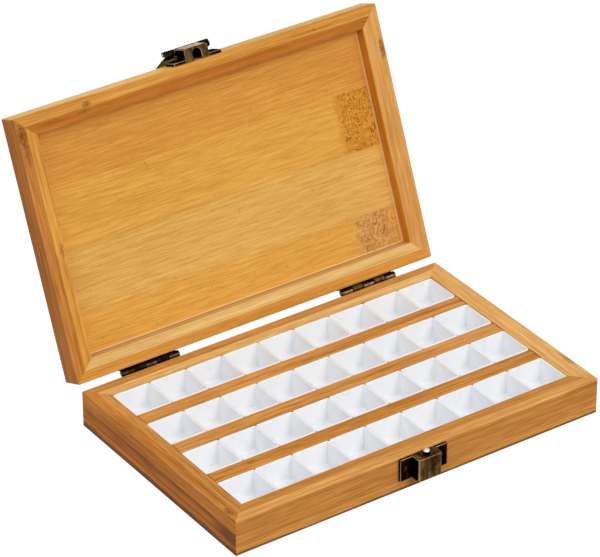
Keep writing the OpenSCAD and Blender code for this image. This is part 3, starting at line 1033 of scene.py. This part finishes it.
    def plan_rails(self) -> None:
        """Lists the finish and the grain of every rail, which is glued from two strips."""
        for number, (node, look) in enumerate(self.rail_looks().items()):
            strips = ((0.0, look.outer), (self.rail_w / 2.0, look.inner))
            bamboo = Bamboo(f"laminated_bamboo_{node}", strips, self.rail_w, fibre=look.streak, streak=look.streak,
                            seed=1.7 + 2.3 * number, knots=look.knots, ply_and_light_tints=look.ply_and_light_tints)
            self.finishes[node] = (bamboo, self.rail_grain(look.side, node.startswith("lid")))

    def plan_dividers(self) -> None:
        """Lists the finish and the grain of the dividers, with painted shade at both ends, where they meet the side
        rails.
        """
        middle = self.divider_t / 2.0
        # Dark knots at both ends paint the shade where each divider meets a side rail.
        end_shade = tuple(Knot(end, middle, 0.7, 9.0, 0.75) for end in (-self.divider_end, self.divider_end))
        dividers = (("divider_back", Tone.TAN, end_shade), ("divider_middle", Tone.TAN, end_shade),
                    ("divider_front", Tone.AMBER, (*end_shade, Knot(-67.9, 4.6, 2.6, 1.3, 0.5))))
        for number, (node, tone, knots) in enumerate(dividers):
            centre = (1 - number) * self.divider_pitch
            bamboo = Bamboo(f"laminated_bamboo_{node}", ((0.0, tone),), self.divider_t, seed=31.0 + 3.1 * number,
                            knots=knots)
            self.finishes[node] = (bamboo, grain_matrix(0.0, (0.0, middle - centre, 0.0), False))

    def plan_boards(self) -> None:
        """Lists the finish and the grain of the lid's board, whose marks show on its inner face, and of the floor."""
        half = self.lid_board_half[1]
        board = Bamboo("flat_pressed_bamboo_lid",
                       ((0.0, Tone.OCHRE), (27.0, Tone.GOLD), (56.9, Tone.WHEAT), (86.5, Tone.GOLD)), 2.0 * half,
                       start=-half, fibre=0.6, streak=0.3, seed=52.0, glue=0.88, painted_seam_half=self.lid_board_half,
                       shown_below=26.0, dark=(0.66, 0.53, 0.28), light=(1.36, 1.48, 1.86),
                       figures=(Figure(80.5, -11.0, 15.0, 15.0, "#D89028", 0.5),
                                Figure(76.0, 43.5, 15.0, 10.0, "#D8A66C", 0.6)))
        self.finishes["lid_board"] = (board, grain_matrix(0.0, (0.0, 0.0, 0.0), True))
        floor = Bamboo("flat_pressed_bamboo_floor",
                       ((0.0, Tone.STRAW), (29.0, Tone.TAN), (58.0, Tone.STRAW), (87.0, Tone.HONEY)),
                       2.0 * self.floor_half, fibre=0.7, streak=0.6, seed=67.0, glue=0.85)
        self.finishes["base_floor"] = (floor, grain_matrix(0.0, (0.0, self.floor_half, 0.0), False))

    def dress(self) -> None:
        """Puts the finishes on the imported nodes."""
        self.plan_rails()
        self.plan_dividers()
        self.plan_boards()
        for node, (finish, grain) in self.finishes.items():
            dress_node(node, finish.material(grain))


@dataclass
class Cups:
    """The lift-out cups: tapered, square with rounded corners, open at the top."""

    rows: int = 4
    columns: int = 9
    width: float = 19.94
    height: float = 12.55
    wall: float = 0.8
    floor: float = 1.0
    draft: float = 0.4
    corner: float = 1.3
    rim: float = 0.3
    fillet: float = 0.9
    pitch_x: float = 20.0
    pitch_y: float = 28.6
    foot_z: float = 5.5
    foot_r: float = 0.35
    least_corner: float = 0.3

    def profile(self) -> np.ndarray:
        """Section of a wall as inset from the rim and height above the foot.

        It runs from the foot's edge up the outside, over a half-round rim, down the inside and round the
        fillet onto the floor.

        Returns:
            Array of inset and height.
        """
        lean = self.draft / self.height
        under = np.linspace(0.0, np.pi / 2.0, 4)
        foot = np.stack([self.draft + self.foot_r * (1 - np.sin(under)), self.foot_r * (1 - np.cos(under))], -1)
        over = np.linspace(0.0, np.pi, 9)
        middle = self.wall / 2.0
        rim = np.stack([middle - middle * np.cos(over), self.height - self.rim + self.rim * np.sin(over)], -1)
        down = np.linspace(0.0, np.pi / 2.0, 6)
        low = self.floor + self.fillet
        inside = self.wall + lean * (self.height - low)
        turn = np.stack([inside + self.fillet * (1 - np.cos(down)), low - self.fillet * np.sin(down)], -1)
        return np.concatenate([foot, rim, turn])

    def rings(self, corner_steps: int = 6) -> np.ndarray:
        """Carries the section round a rounded square.

        Each ring is a square of half side a - inset whose corners have the radius r - inset, but never less than
        the least corner.

        Args:
            corner_steps: Segments in each corner.

        Returns:
            Rings for lofted.
        """
        section = self.profile()
        inset, height = section[:, :1], section[:, 1:]
        radius = np.maximum(self.corner - inset, self.least_corner)
        half = self.width / 2.0 - inset - radius
        quarter, step = np.meshgrid(np.arange(4), np.linspace(0.0, np.pi / 2.0, corner_steps + 1), indexing="ij")
        angle = (quarter * np.pi / 2.0 + step).ravel()
        sign_x = np.where((quarter == 0) | (quarter == 3), 1.0, -1.0).ravel()
        sign_y = np.where(quarter < 2, 1.0, -1.0).ravel()
        return np.stack([half * sign_x + radius * np.cos(angle), half * sign_y + radius * np.sin(angle),
                         height + 0.0 * angle], -1)

    def build(self, plastic: bpy.types.Material) -> None:
        """Makes every cup and sets it on its own body.

        Args:
            plastic: Material of the cups.
        """
        shell = lofted(self.rings())
        for row in range(1, self.rows + 1):
            for column in range(1, self.columns + 1):
                node = f"pan_r{row}_c{column}"
                centre = ((column - (self.columns + 1) / 2) * self.pitch_x,
                          ((self.rows + 1) / 2 - row) * self.pitch_y, self.foot_z)
                cup = make_piece(f"cup_r{row}_c{column}", [shell.placed(Matrix.Translation(centre))], [plastic],
                                 50.0)
                set_on(cup, node, node)


@dataclass(frozen=True)
class Lamp:
    """A soft square lamp, with its place and side in metres and its power in watts."""

    name: str
    place: tuple[float, float, float]
    side: float
    power: float
    colour: str = "#FFFFFF"


@dataclass
class Studio:
    """Camera of the photograph, soft lamps, pale floor and white surroundings."""

    azimuth: float = -34.565
    elevation: float = 31.354
    roll: float = -0.157
    focal_px: float = 3805.9
    eye: tuple[float, float, float] = (-842.0, -1189.8, 963.6)
    sensor: float = 36.0
    aim: tuple[float, float, float] = (0.0, 0.03, 0.05)
    lamps: tuple[Lamp, ...] = (Lamp("key", (0.45, -2.1, 2.0), 1.6, 39.0, "#FFFBF5"),
                               Lamp("fill", (-1.8, -0.5, 1.3), 1.4, 6.5),
                               Lamp("top", (-0.1, 0.2, 1.5), 1.0, 1.5))
    world_strength: float = 0.56
    floor_side: float = 8.0
    floor_drop: float = 0.05

    def camera(self) -> None:
        """Places the camera that a fit of the box's corners to the photograph gives."""
        a, e, q = (math.radians(v) for v in (self.azimuth, self.elevation, self.roll))
        back = Vector((math.sin(a) * math.cos(e), -math.cos(a) * math.cos(e), math.sin(e)))
        right = (-back).cross(Vector((0.0, 0.0, 1.0))).normalized()
        up = right.cross(-back)
        across = math.cos(q) * right + math.sin(q) * up
        upward = -math.sin(q) * right + math.cos(q) * up
        data = bpy.data.cameras.new("camera")
        data.sensor_fit = "HORIZONTAL"
        data.sensor_width = self.sensor
        data.lens = self.focal_px * self.sensor / IMAGE_WIDTH
        data.clip_start, data.clip_end = 0.05, 20.0
        camera = bpy.data.objects.new("camera", data)
        turn = Matrix((across, upward, back)).transposed().to_4x4()
        camera.matrix_world = Matrix.Translation(Vector(self.eye) * MM) @ turn
        bpy.context.scene.collection.objects.link(camera)
        bpy.context.scene.camera = camera

    def light(self, lamp: Lamp) -> None:
        """Adds one lamp that faces the box.

        Args:
            lamp: The lamp.
        """
        data = bpy.data.lights.new(lamp.name, "AREA")
        data.shape = "SQUARE"
        data.size = lamp.side
        data.energy = lamp.power
        data.color = linear(lamp.colour)[:3]
        light = bpy.data.objects.new(lamp.name, data)
        light.location = lamp.place
        light.rotation_euler = (Vector(self.aim) - Vector(lamp.place)).to_track_quat("-Z", "Y").to_euler()
        bpy.context.scene.collection.objects.link(light)

    def surroundings(self) -> None:
        """Gives the world an even soft light, and white where it is seen directly or mirrored."""
        world = bpy.data.worlds.new("studio")
        bpy.context.scene.world = world
        world.use_nodes = True
        tree = world.node_tree
        tree.nodes.clear()
        soft = add_node(tree, "ShaderNodeBackground", {
            "Color": linear("#FBFCFF"), "Strength": self.world_strength})
        seen = add_node(tree, "ShaderNodeBackground", {"Color": linear("#FFFFFF"), "Strength": 1.0})
        mixed = add_node(tree, "ShaderNodeMixShader", {0: self._seen(tree), 1: soft.outputs[0], 2: seen.outputs[0]})
        add_node(tree, "ShaderNodeOutputWorld", {0: mixed.outputs[0]})

    @staticmethod
    def _seen(tree: Tree) -> Socket:
        """Tells rays that come from the camera, a mirror or glass from the others.

        Args:
            tree: Node tree of the floor or the world.

        Returns:
            One for those rays and zero for the others.
        """
        path = add_node(tree, "ShaderNodeLightPath").outputs
        either = add_node(tree, "ShaderNodeMath", {0: path["Is Camera Ray"], 1: path["Is Glossy Ray"]},
                          operation="MAXIMUM")
        return add_node(tree, "ShaderNodeMath", {0: either.outputs[0], 1: path["Is Transmission Ray"]},
                        operation="MAXIMUM").outputs[0]

    def floor(self) -> None:
        """Lays a pale floor that keeps the box's shadow and is white where it is seen directly."""
        mesh = bpy.data.meshes.new("floor")
        half, low = self.floor_side / 2.0, -self.floor_drop * MM
        corners = [(-half, -half, low), (half, -half, low), (half, half, low), (-half, half, low)]
        mesh.from_pydata(corners, [], [(0, 1, 2, 3)])
        floor = bpy.data.objects.new("floor", mesh)
        bpy.context.scene.collection.objects.link(floor)
        material = bpy.data.materials.new("pale_floor")
        material.use_nodes = True
        tree = material.node_tree
        tree.nodes.clear()
        matte = add_node(tree, "ShaderNodeBsdfDiffuse", {"Color": linear("#959595")})
        white = add_node(tree, "ShaderNodeEmission", {"Color": linear("#FFFFFF"), "Strength": 1.2})
        pale = add_node(tree, "ShaderNodeMixShader", {0: 0.85, 1: matte.outputs[0], 2: white.outputs[0]})
        mixed = add_node(tree, "ShaderNodeMixShader", {0: self._seen(tree), 1: matte.outputs[0], 2: pale.outputs[0]})
        add_node(tree, "ShaderNodeOutputMaterial", {0: mixed.outputs[0]})
        mesh.materials.append(material)

    def build(self) -> None:
        """Sets up the camera, the lamps, the surroundings and the floor."""
        self.camera()
        self.surroundings()
        self.floor()
        for lamp in self.lamps:
            self.light(lamp)
        bpy.context.scene.view_settings.view_transform = "Standard"


@dataclass
class Metals:
    """The fittings' finishes: the film as it is, black film that also paints shade on sideways faces and in corners, a
    rim finish that is partly rubbed and partly painted highlight, a paler film as a painted highlight, and plain steel.
    """

    film: bpy.types.Material
    black: bpy.types.Material
    rubbed_and_highlighted: bpy.types.Material
    painted_highlight: bpy.types.Material
    brassy: bpy.types.Material
    screws: bpy.types.Material
    steel: bpy.types.Material

    @classmethod
    def made(cls) -> "Metals":
        """Builds the materials.

        Returns:
            The set of finishes.
        """
        return cls(AntiqueBronze("antique_bronze_film", "#2A1C0D", "#4E3B20", "#725A36", edge="#D0C0AC").material(),
                   # This black film also stands in for shade on the faces that get it.
                   AntiqueBronze("antique_bronze_black", "#0C0703", "#1A1108", "#302315", edge="#30261C").material(),
                   # Partly rubbed metal and partly a painted highlight on rims and bends.
                   AntiqueBronze("antique_bronze_rubbed_and_highlighted", "#664F31", "#866C46", "#A88C62").material(),
                   # A paler film put on as a painted highlight.
                   AntiqueBronze("antique_bronze_painted_highlight", "#8A7050", "#A98C64", "#C8AC84").material(),
                   AntiqueBronze("antique_bronze_brassy", "#6A5636", "#8A7450", "#A8926A", edge="#8A7860").material(),
                   AntiqueBronze("antique_bronze_screws", "#120C06", "#261B0E", "#46351E", rough_low=0.18,
                                 rough_high=0.3, edge="#5A4A38").material(),
                   PolishedSteel().material())

    def pressed(self) -> list[bpy.types.Material]:
        """Finishes of a pressed sheet, in the order of Film."""
        return [self.film, self.black, self.rubbed_and_highlighted, self.painted_highlight]


def on_front(points: np.ndarray) -> np.ndarray:
    """Turns x, distance out of the wood and z on the box's front into x, y and z.

    Args:
        points: Array whose last axis holds x, out and z, in millimetres.

    Returns:
        Array of the same shape.
    """
    return np.stack([points[..., 0], -HALF_DEPTH - points[..., 1], points[..., 2]], -1)


def plate(x: tuple[float, float], out: tuple[float, float], z: tuple[float, float]) -> Shell:
    """A straight piece of sheet on the box's front, black as painted shade, from its ranges in x, out and z."""
    near, far = (carried(np.array([(x[0], o), (x[1], o)]), np.array(z)) for o in out)
    return folded(on_front(near), on_front(far)).finished(Film.BLACK)


def shade_and_highlight_film(piece: bpy.types.Object, rim: Film, painted_highlight: Vector | None = None) -> None:
    """Paints shade with black film on faces that look sideways, and puts the rim finish, partly rubbed and partly
    painted highlight, on the bends between.

    Args:
        piece: Piece to change.
        rim: Film on the bends.
        painted_highlight: Direction of a face that gets a paler film as a painted highlight.
    """
    normal, _, finish = face_arrays(piece)
    sideways, bend_from, bend_to, facing = np.abs(normal[:, 0]), 0.5, 0.8, 0.95
    if painted_highlight is not None:
        # Faces that look this way get a paler film as a painted highlight.
        finish[(normal @ np.array(painted_highlight) > facing) & (finish == Film.PLAIN)] = Film.PAINTED_HIGHLIGHT
    # Sideways faces get black film as painted shade.
    finish[sideways > bend_to] = Film.BLACK
    finish[(sideways > bend_from) & (sideways < bend_to) & (finish == Film.PLAIN)] = rim
    piece.data.polygons.foreach_set("material_index", finish)


@dataclass
class Latch:
    """The draw latch on the front: keeper and stud on the base, case and lever on the lid."""

    width: float = 13.0
    out: float = 6.6
    sheet: float = 0.8
    bend: float = 1.4
    flange_reach: float = 13.0
    flange_t: float = 1.6
    keeper_z: tuple[float, float] = (6.2, 17.7)
    case_z: tuple[float, float] = (19.4, 27.8)
    stud_out: float = 3.2
    stud_r: float = 1.6
    ball_z: float = 1.6
    ball_h: float = 0.9
    slot_r: float = 2.4
    tab_out: float = 5.9
    pivot: tuple[float, float] = (5.4, 29.3)
    roll_r: float = 1.2
    roll_sheet: float = 0.62
    lever_w: float = 25.0
    lever_out: float = 1.5
    lever_end: float = -24.2
    lever_corner: float = 3.0
    lever_lip: float = 1.6
    slot_x: tuple[float, float] = (5.4, 6.8)
    slot_reach: float = 2.5
    lever_round: float = 0.5
    roll_deg: tuple[float, float] = (385.0, 92.0)
    clear: float = 0.02

    def channel(self, inset: float) -> np.ndarray:
        """The raised box from above, open towards the wood, with both bends rounded."""
        half, depth = self.width / 2.0 - inset, self.out - inset
        return rounded_line([(-half, 0.0), (-half, depth), (half, depth), (half, 0.0)], [self.bend - inset] * 2, 7)

    def closed_end(self, arched: bool) -> np.ndarray:
        """The inner line of the box's closed end.

        Args:
            arched: True for the arch that the stud enters, False for a straight line at the wood.

        Returns:
            As many points as the box's outline has.
        """
        half, count = self.width / 2.0 - self.sheet, len(self.channel(0.0))
        if arched:
            crown = arc((0.0, self.stud_out), self.slot_r, 180.0, 0.0, count - 4)
            return np.concatenate([[(-half, 0.0), (-self.slot_r, 0.0)], crown, [(self.slot_r, 0.0), (half, 0.0)]])
        return np.stack([np.linspace(-half, half, count), np.zeros(count)], -1)

    def pressing(self, low: float, high: float, closed_high: bool, arched: bool) -> list[Shell]:
        """A box bent from sheet with one closed end and two screw flanges.

        The skins are the box's outline and, level by level, the wall's inner line or that of the closed end.

        Args:
            low: Lower end.
            high: Upper end.
            closed_high: True where the upper end is closed.
            arched: True where the closed end has the arch.

        Returns:
            The box and the two flanges.
        """
        wall, end = self.channel(self.sheet), self.closed_end(arched)
        if closed_high:
            levels, lines = (low, high - self.sheet, high - self.sheet, high), (wall, wall, end, end)
        else:
            levels, lines = (low, low + self.sheet, low + self.sheet, high), (end, end, wall, wall)
        near = carried(self.channel(0.0), np.array(levels))
        far = np.concatenate([carried(line, np.array([level])) for line, level in zip(lines, levels)])
        shells = [folded(on_front(near), on_front(far))]
        inner = self.width / 2.0 - 0.5 * self.sheet
        for sign in (-1.0, 1.0):
            shells.append(plate((sign * inner, sign * self.flange_reach), (0.0, self.flange_t), (low, high)))
        return shells

    def ear(self, sign: float) -> Shell:
        """One wall of the case, carried up and rounded to hold the lever's pin.

        Args:
            sign: 1 on the right and -1 on the left.

        Returns:
            Closed surface.
        """
        out, high = self.pivot
        base, back = self.case_z[1] - self.sheet, out - 2.0 * self.roll_r
        front = self.out - self.bend
        near = np.concatenate([[(back, base), (back, high)], arc(self.pivot, self.roll_r, 180.0, 90.0, 8)])
        far = np.concatenate([[(front, base)], arc(self.pivot, self.roll_r, -99.6, 90.0, 9)])
        x = sign * np.array([self.width / 2.0 - self.sheet + self.clear, self.width / 2.0 - self.clear])
        skins = (on_front(carried(line, x)[..., [2, 0, 1]]) for line in (near, far))
        return folded(*skins)

    def lever_shells(self) -> list[Shell]:
        """The lever about its pin, drawn shut, with out and up as its section's axes.

        The sheet runs from its roll over the shoulder and down to an inturned lip. Near the end the half width
        narrows as w = W - r + sqrt(r^2 - d^2), with d the depth into the rounded corner.

        Returns:
            Three rolled parts, between which the ears stand, and the plate.
        """
        thin = self.roll_sheet
        middle = self.roll_r - thin / 2.0
        face = self.lever_out + self.sheet - self.clear - thin / 2.0
        shoulder = rounded_line([(0.0, middle), (face, middle), (face, -self.slot_reach - 1.2)], [self.lever_round])
        path = np.concatenate([arc((0.0, 0.0), middle, *self.roll_deg, 30), shoulder])
        edge, (slot_low, slot_high) = self.lever_w / 2.0, self.slot_x
        shells = []
        for x in ((-edge, -slot_high), (-slot_low, slot_low), (slot_high, edge)):
            near, far = (carried(skin, np.array(x)) for skin in two_skins(path, thin))
            shells.append(self._lever_placed(near, far).finished(Film.BLACK))
        centre = self.lever_out + self.sheet / 2.0
        foot = self.lever_end + self.sheet / 2.0
        height = np.linspace(-self.slot_reach, foot + 0.6, 24)
        run = np.stack([np.full_like(height, centre), height], -1)
        lip = rounded_line([(centre, height[-1]), (centre, foot), (self.lever_out - self.lever_lip, foot)],
                           [self.lever_round])
        skins = two_skins(np.concatenate([run, lip[1:]]), self.sheet)
        grids = []
        for skin in skins:
            depth = np.clip(self.lever_corner - (skin[:, 1] - self.lever_end), 0.0, self.lever_corner)
            half = edge - self.lever_corner + np.sqrt(self.lever_corner ** 2 - depth ** 2)
            grids.append(carried(skin, np.stack([-half, half])))
        shells.append(self._lever_placed(*grids))
        return shells

    def _lever_placed(self, near: np.ndarray, far: np.ndarray) -> Shell:
        """Closes two skins of the lever, given as out, up and x about its pin."""
        shift = np.array((0.0, *self.pivot))
        return folded(*(on_front(skin[..., [2, 0, 1]] + shift) for skin in (near, far)))

    def stud(self) -> list[Shell]:
        """The riveted stud: a stem with a collar on each side of the sheet, black as painted shade under the ball, and
        a bright flattened ball.

        The ball has the radius R cos a and the height z + h sin a.

        Returns:
            The stem and the ball.
        """
        ball = np.radians(np.linspace(-49.0, 90.0, 22))
        crown = np.stack([self.stud_r * np.cos(ball) + POLE_RADIUS, self.ball_z + self.ball_h * np.sin(ball)], -1)
        stem = np.array([(POLE_RADIUS, -1.6), (1.7, -1.6), (1.9, -1.4), (1.9, -0.82), (1.1, -0.8), (1.1, 0.02),
                         (1.8, 0.02), (1.8, 0.2), (1.6, 0.35), (1.1, 0.4), (1.0, 1.0), (POLE_RADIUS, 1.0)])
        centre = Matrix.Translation((0.0, -HALF_DEPTH - self.stud_out, self.keeper_z[1]))
        return [lofted(turned(stem)).placed(centre).finished(Film.BLACK), lofted(turned(crown)).placed(centre)]

    def build(self, metals: Metals) -> None:
        """Makes the keeper, stud, case and lever, sets them on their bodies and dresses the lever's pin.

        Args:
            metals: Materials of the fittings.
        """
        keeper = make_piece("keeper_pressing", self.pressing(*self.keeper_z, True, False), metals.pressed())
        set_on(keeper, "base", "latch_keeper")
        dome = make_piece("keeper_stud", self.stud(), [metals.steel, metals.black])
        set_on(dome, "base", "latch_stud")
        shells = self.pressing(*self.case_z, False, True) + [self.ear(-1.0), self.ear(1.0)]
        inner, high = self.width / 2.0 - 0.5 * self.sheet, self.case_z[1]
        shells.append(plate((-inner, inner), (0.0, self.tab_out), (high - self.sheet, high - self.clear)))
        case = make_piece("case_pressing", [s.placed(LID_SWING) for s in shells], metals.pressed())
        set_on(case, "lid", "latch_case")
        lever = make_piece("lever_sheet", [s.placed(LEVER_SWING) for s in self.lever_shells()],
                           metals.pressed())
        set_on(lever, "latch_lever", "latch_lever")
        # At rest the case's front looks up and gets a paler film as a painted highlight; bends and eased edges of
        # keeper and case get the partly rubbed, partly painted-highlight rim.
        lid_front = LID_SWING.to_3x3() @ Vector((0.0, -1.0, 0.0))
        for piece, eased, rim, painted_highlight in ((keeper, 0.3, Film.RUBBED_AND_HIGHLIGHTED, None), (case, 0.3, Film.RUBBED_AND_HIGHLIGHTED, lid_front),
                                        (lever, 0.2, Film.PLAIN, None)):
            shade_and_highlight_film(piece, rim, painted_highlight)
            ease_edges(piece, eased, rim)
        dress_node("latch_pin", metals.steel)


@dataclass
class Hinges:
    """Two rolled butt hinges on the back."""

    centres: tuple[float, float] = (-61.5, 61.5)
    length: float = 31.0
    leaf_h: float = 8.4
    sheet: float = 0.8
    barrel_r: float = 1.65
    axis_out: float = 1.85
    axis_z: float = 18.65
    notch: float = 1.95
    corner: float = 1.0
    knuckles: int = 5
    knuckle: float = 5.96
    pitch: float = 6.26
    clear: float = 0.03

    def leaf(self, centre: float, up: float) -> list[Shell]:
        """One leaf with its rolled knuckles, as distance out of the back, height over the axis and x.

        The plate's lower corners narrow its half width as w = W - r + sqrt(r^2 - d^2). Each knuckle is the sheet
        bent out of the plate and rolled through 300 degrees round the pin.

        Args:
            centre: Middle of the hinge along x.
            up: 1 on the lid and -1 on the base.

        Returns:
            The plate and the knuckles.
        """
        height = np.concatenate([np.linspace(self.leaf_h, self.leaf_h - self.corner, 8), [self.notch]])
        depth = np.clip(height - self.leaf_h + self.corner, 0.0, self.corner)
        half = self.length / 2.0 - self.corner + np.sqrt(self.corner ** 2 - depth ** 2)
        ends = centre + np.stack([-half, half])
        skins = [carried(np.stack([np.full_like(height, out), up * height], -1), ends) for out in (0.0, self.sheet)]
        shells = [self._placed(*skins)]
        rolled = self.barrel_r - self.sheet / 2.0
        root = np.array([(self.sheet / 2.0, self.notch + 0.7), (self.sheet / 2.0, self.notch - 0.2),
                         (self.axis_out - rolled, 0.5)])
        path = np.concatenate([root, arc((self.axis_out, 0.0), rolled, 180.0, 480.0, 30)]) * (1.0, up)
        for number in range(self.knuckles):
            if (number % 2 == 1) == (up > 0):
                start = centre - self.length / 2.0 + number * self.pitch
                skins = two_skins(path, self.sheet - self.clear)
                shells.append(self._placed(*(carried(s, np.array((start, start + self.knuckle))) for s in skins)))
        return shells

    def _placed(self, near: np.ndarray, far: np.ndarray) -> Shell:
        """Closes two skins given as out, height over the axis and x on the back of the box."""
        shift = np.array((0.0, HALF_DEPTH, self.axis_z))
        return folded(near[..., [2, 0, 1]] + shift, far[..., [2, 0, 1]] + shift)

    @staticmethod
    def _highlight_knuckle_fronts(leaves: bpy.types.Object) -> None:
        """Paints a highlight on the front of the base knuckles: brass on the right hinge, where more light falls, and
        the film on the left.

        Args:
            leaves: Leaves of the base.
        """
        normal, centre, finish = face_arrays(leaves)
        front = (finish == Film.BLACK) & (normal[:, 1] < -0.77)
        finish[front] = np.where(centre[:, 0] > 0.0, Film.RUBBED_AND_HIGHLIGHTED, Film.PLAIN)[front]
        leaves.data.polygons.foreach_set("material_index", finish)

    def build(self, metals: Metals) -> None:
        """Makes the leaves of the base and of the lid, and dresses the pins.

        Args:
            metals: Materials of the fittings.
        """
        for name, body, node, up in (("base_leaves_rolled", "base", "hinge_base_leaves", -1.0),
                                     ("lid_leaves_rolled", "lid", "hinge_lid_leaves", 1.0)):
            shells = []
            for centre in self.centres:
                sheet, *knuckles = self.leaf(centre, up)
                # Lid knuckles of the right hinge keep the lighter film and all others are black: the right hinge is
                # painted lighter where more light falls on it.
                film = Film.PLAIN if up > 0 and centre > 0 else Film.BLACK
                shells += [sheet] + [knuckle.finished(film) for knuckle in knuckles]
            if up > 0:
                shells = [shell.placed(LID_SWING) for shell in shells]
            leaves = make_piece(name, shells, [metals.film, metals.black, metals.brassy])
            if up < 0:
                self._highlight_knuckle_fronts(leaves)
            ease_edges(leaves, 0.2)
            set_on(leaves, body, node)
        dress_node("hinge_pins", metals.brassy)


@dataclass
class Screws:
    """Small round-head screws with a cross recess: two in each hinge leaf and in each latch plate."""

    head_r: float = 1.6
    head_h: float = 0.8
    head_edge: float = 0.12
    shank_r: float = 0.8
    length: float = 5.5
    recess: float = 0.45
    arm_w: float = 0.24
    arm_l: float = 0.95
    fade: float = 0.12
    leaf_pitch: float = 20.0
    leaf_z: float = 5.175
    flange_x: float = 9.75
    plates: tuple[float, float] = (11.95, 23.6)

    def shell(self) -> Shell:
        """The screw with its head's underside at height 0.

        Above its edge, the head's height is h (1 - (r / R)^2) less the recess, which is full where |x| or |y| is
        under half an arm and r is under an arm's length, and fades out beyond.

        Returns:
            Closed surface about the Z axis.
        """
        radius = np.concatenate([np.linspace(self.head_r, 0.05, 26), [POLE_RADIUS]])
        dome = (self.head_h - self.head_edge) * (1.0 - (radius / self.head_r) ** 2)
        head = np.stack([radius, self.head_edge + dome], -1)
        stem = [(POLE_RADIUS, -self.length), (0.25, -self.length + 0.4), (self.shank_r, -self.length + 1.6),
                (self.shank_r, 0.0), (self.head_r, 0.0)]
        rings = turned(np.concatenate([stem, head]), 64)
        x, y = np.abs(rings[..., 0]), np.abs(rings[..., 1])
        half = self.fade / 2.0
        arms = np.clip((self.arm_w + half - np.minimum(x, y)) / self.fade, 0.0, 1.0)
        reach = np.clip((self.arm_l + half - np.hypot(x, y)) / self.fade, 0.0, 1.0)
        rings[len(stem):, :, 2] -= (self.recess * arms * reach)[len(stem):]
        return lofted(rings)

    def build(self, hinges: Hinges, latch: Latch, metals: Metals) -> None:
        """Makes the screws of the base and of the lid.

        Args:
            hinges: Hinges, for the places of the leaf screws.
            latch: Latch, for the thickness of its flanges.
            metals: Materials of the fittings.
        """
        screw = self.shell()
        back, front = (Matrix.Rotation(math.radians(a), 4, "X") for a in (-90.0, 90.0))
        for name, body, node, up, height in (("base_screw_set", "base", "base_screws", -1.0, self.plates[0]),
                                             ("lid_screw_set", "lid", "lid_screws", 1.0, self.plates[1])):
            shells = []
            for side in (-1.0, 1.0):
                for number, centre in enumerate(hinges.centres):
                    spot = (centre + side * self.leaf_pitch / 2.0, HALF_DEPTH + hinges.sheet,
                            hinges.axis_z + up * self.leaf_z)
                    turn = Matrix.Rotation(0.5 * side + 0.9 * number, 4, "Z")
                    shells.append(screw.placed(Matrix.Translation(spot) @ back @ turn))
                spot = (side * self.flange_x, -HALF_DEPTH - latch.flange_t, height)
                turn = Matrix.Rotation(0.4 - 0.7 * side, 4, "Z")
                shells.append(screw.placed(Matrix.Translation(spot) @ front @ turn))
            if up > 0:
                shells = [shell.placed(LID_SWING) for shell in shells]
            set_on(make_piece(name, shells, [metals.screws]), body, node)


def main() -> None:
    """Builds the studio and every sub-assembly in order."""
    logging.basicConfig(level=logging.INFO)
    Studio().build()
    WoodWork().dress()
    Cups().build(CupPlastic().material())
    metals, hinges, latch = Metals.made(), Hinges(), Latch()
    latch.build(metals)
    hinges.build(metals)
    Screws().build(hinges, latch, metals)


if __name__ == "__main__":
    main()
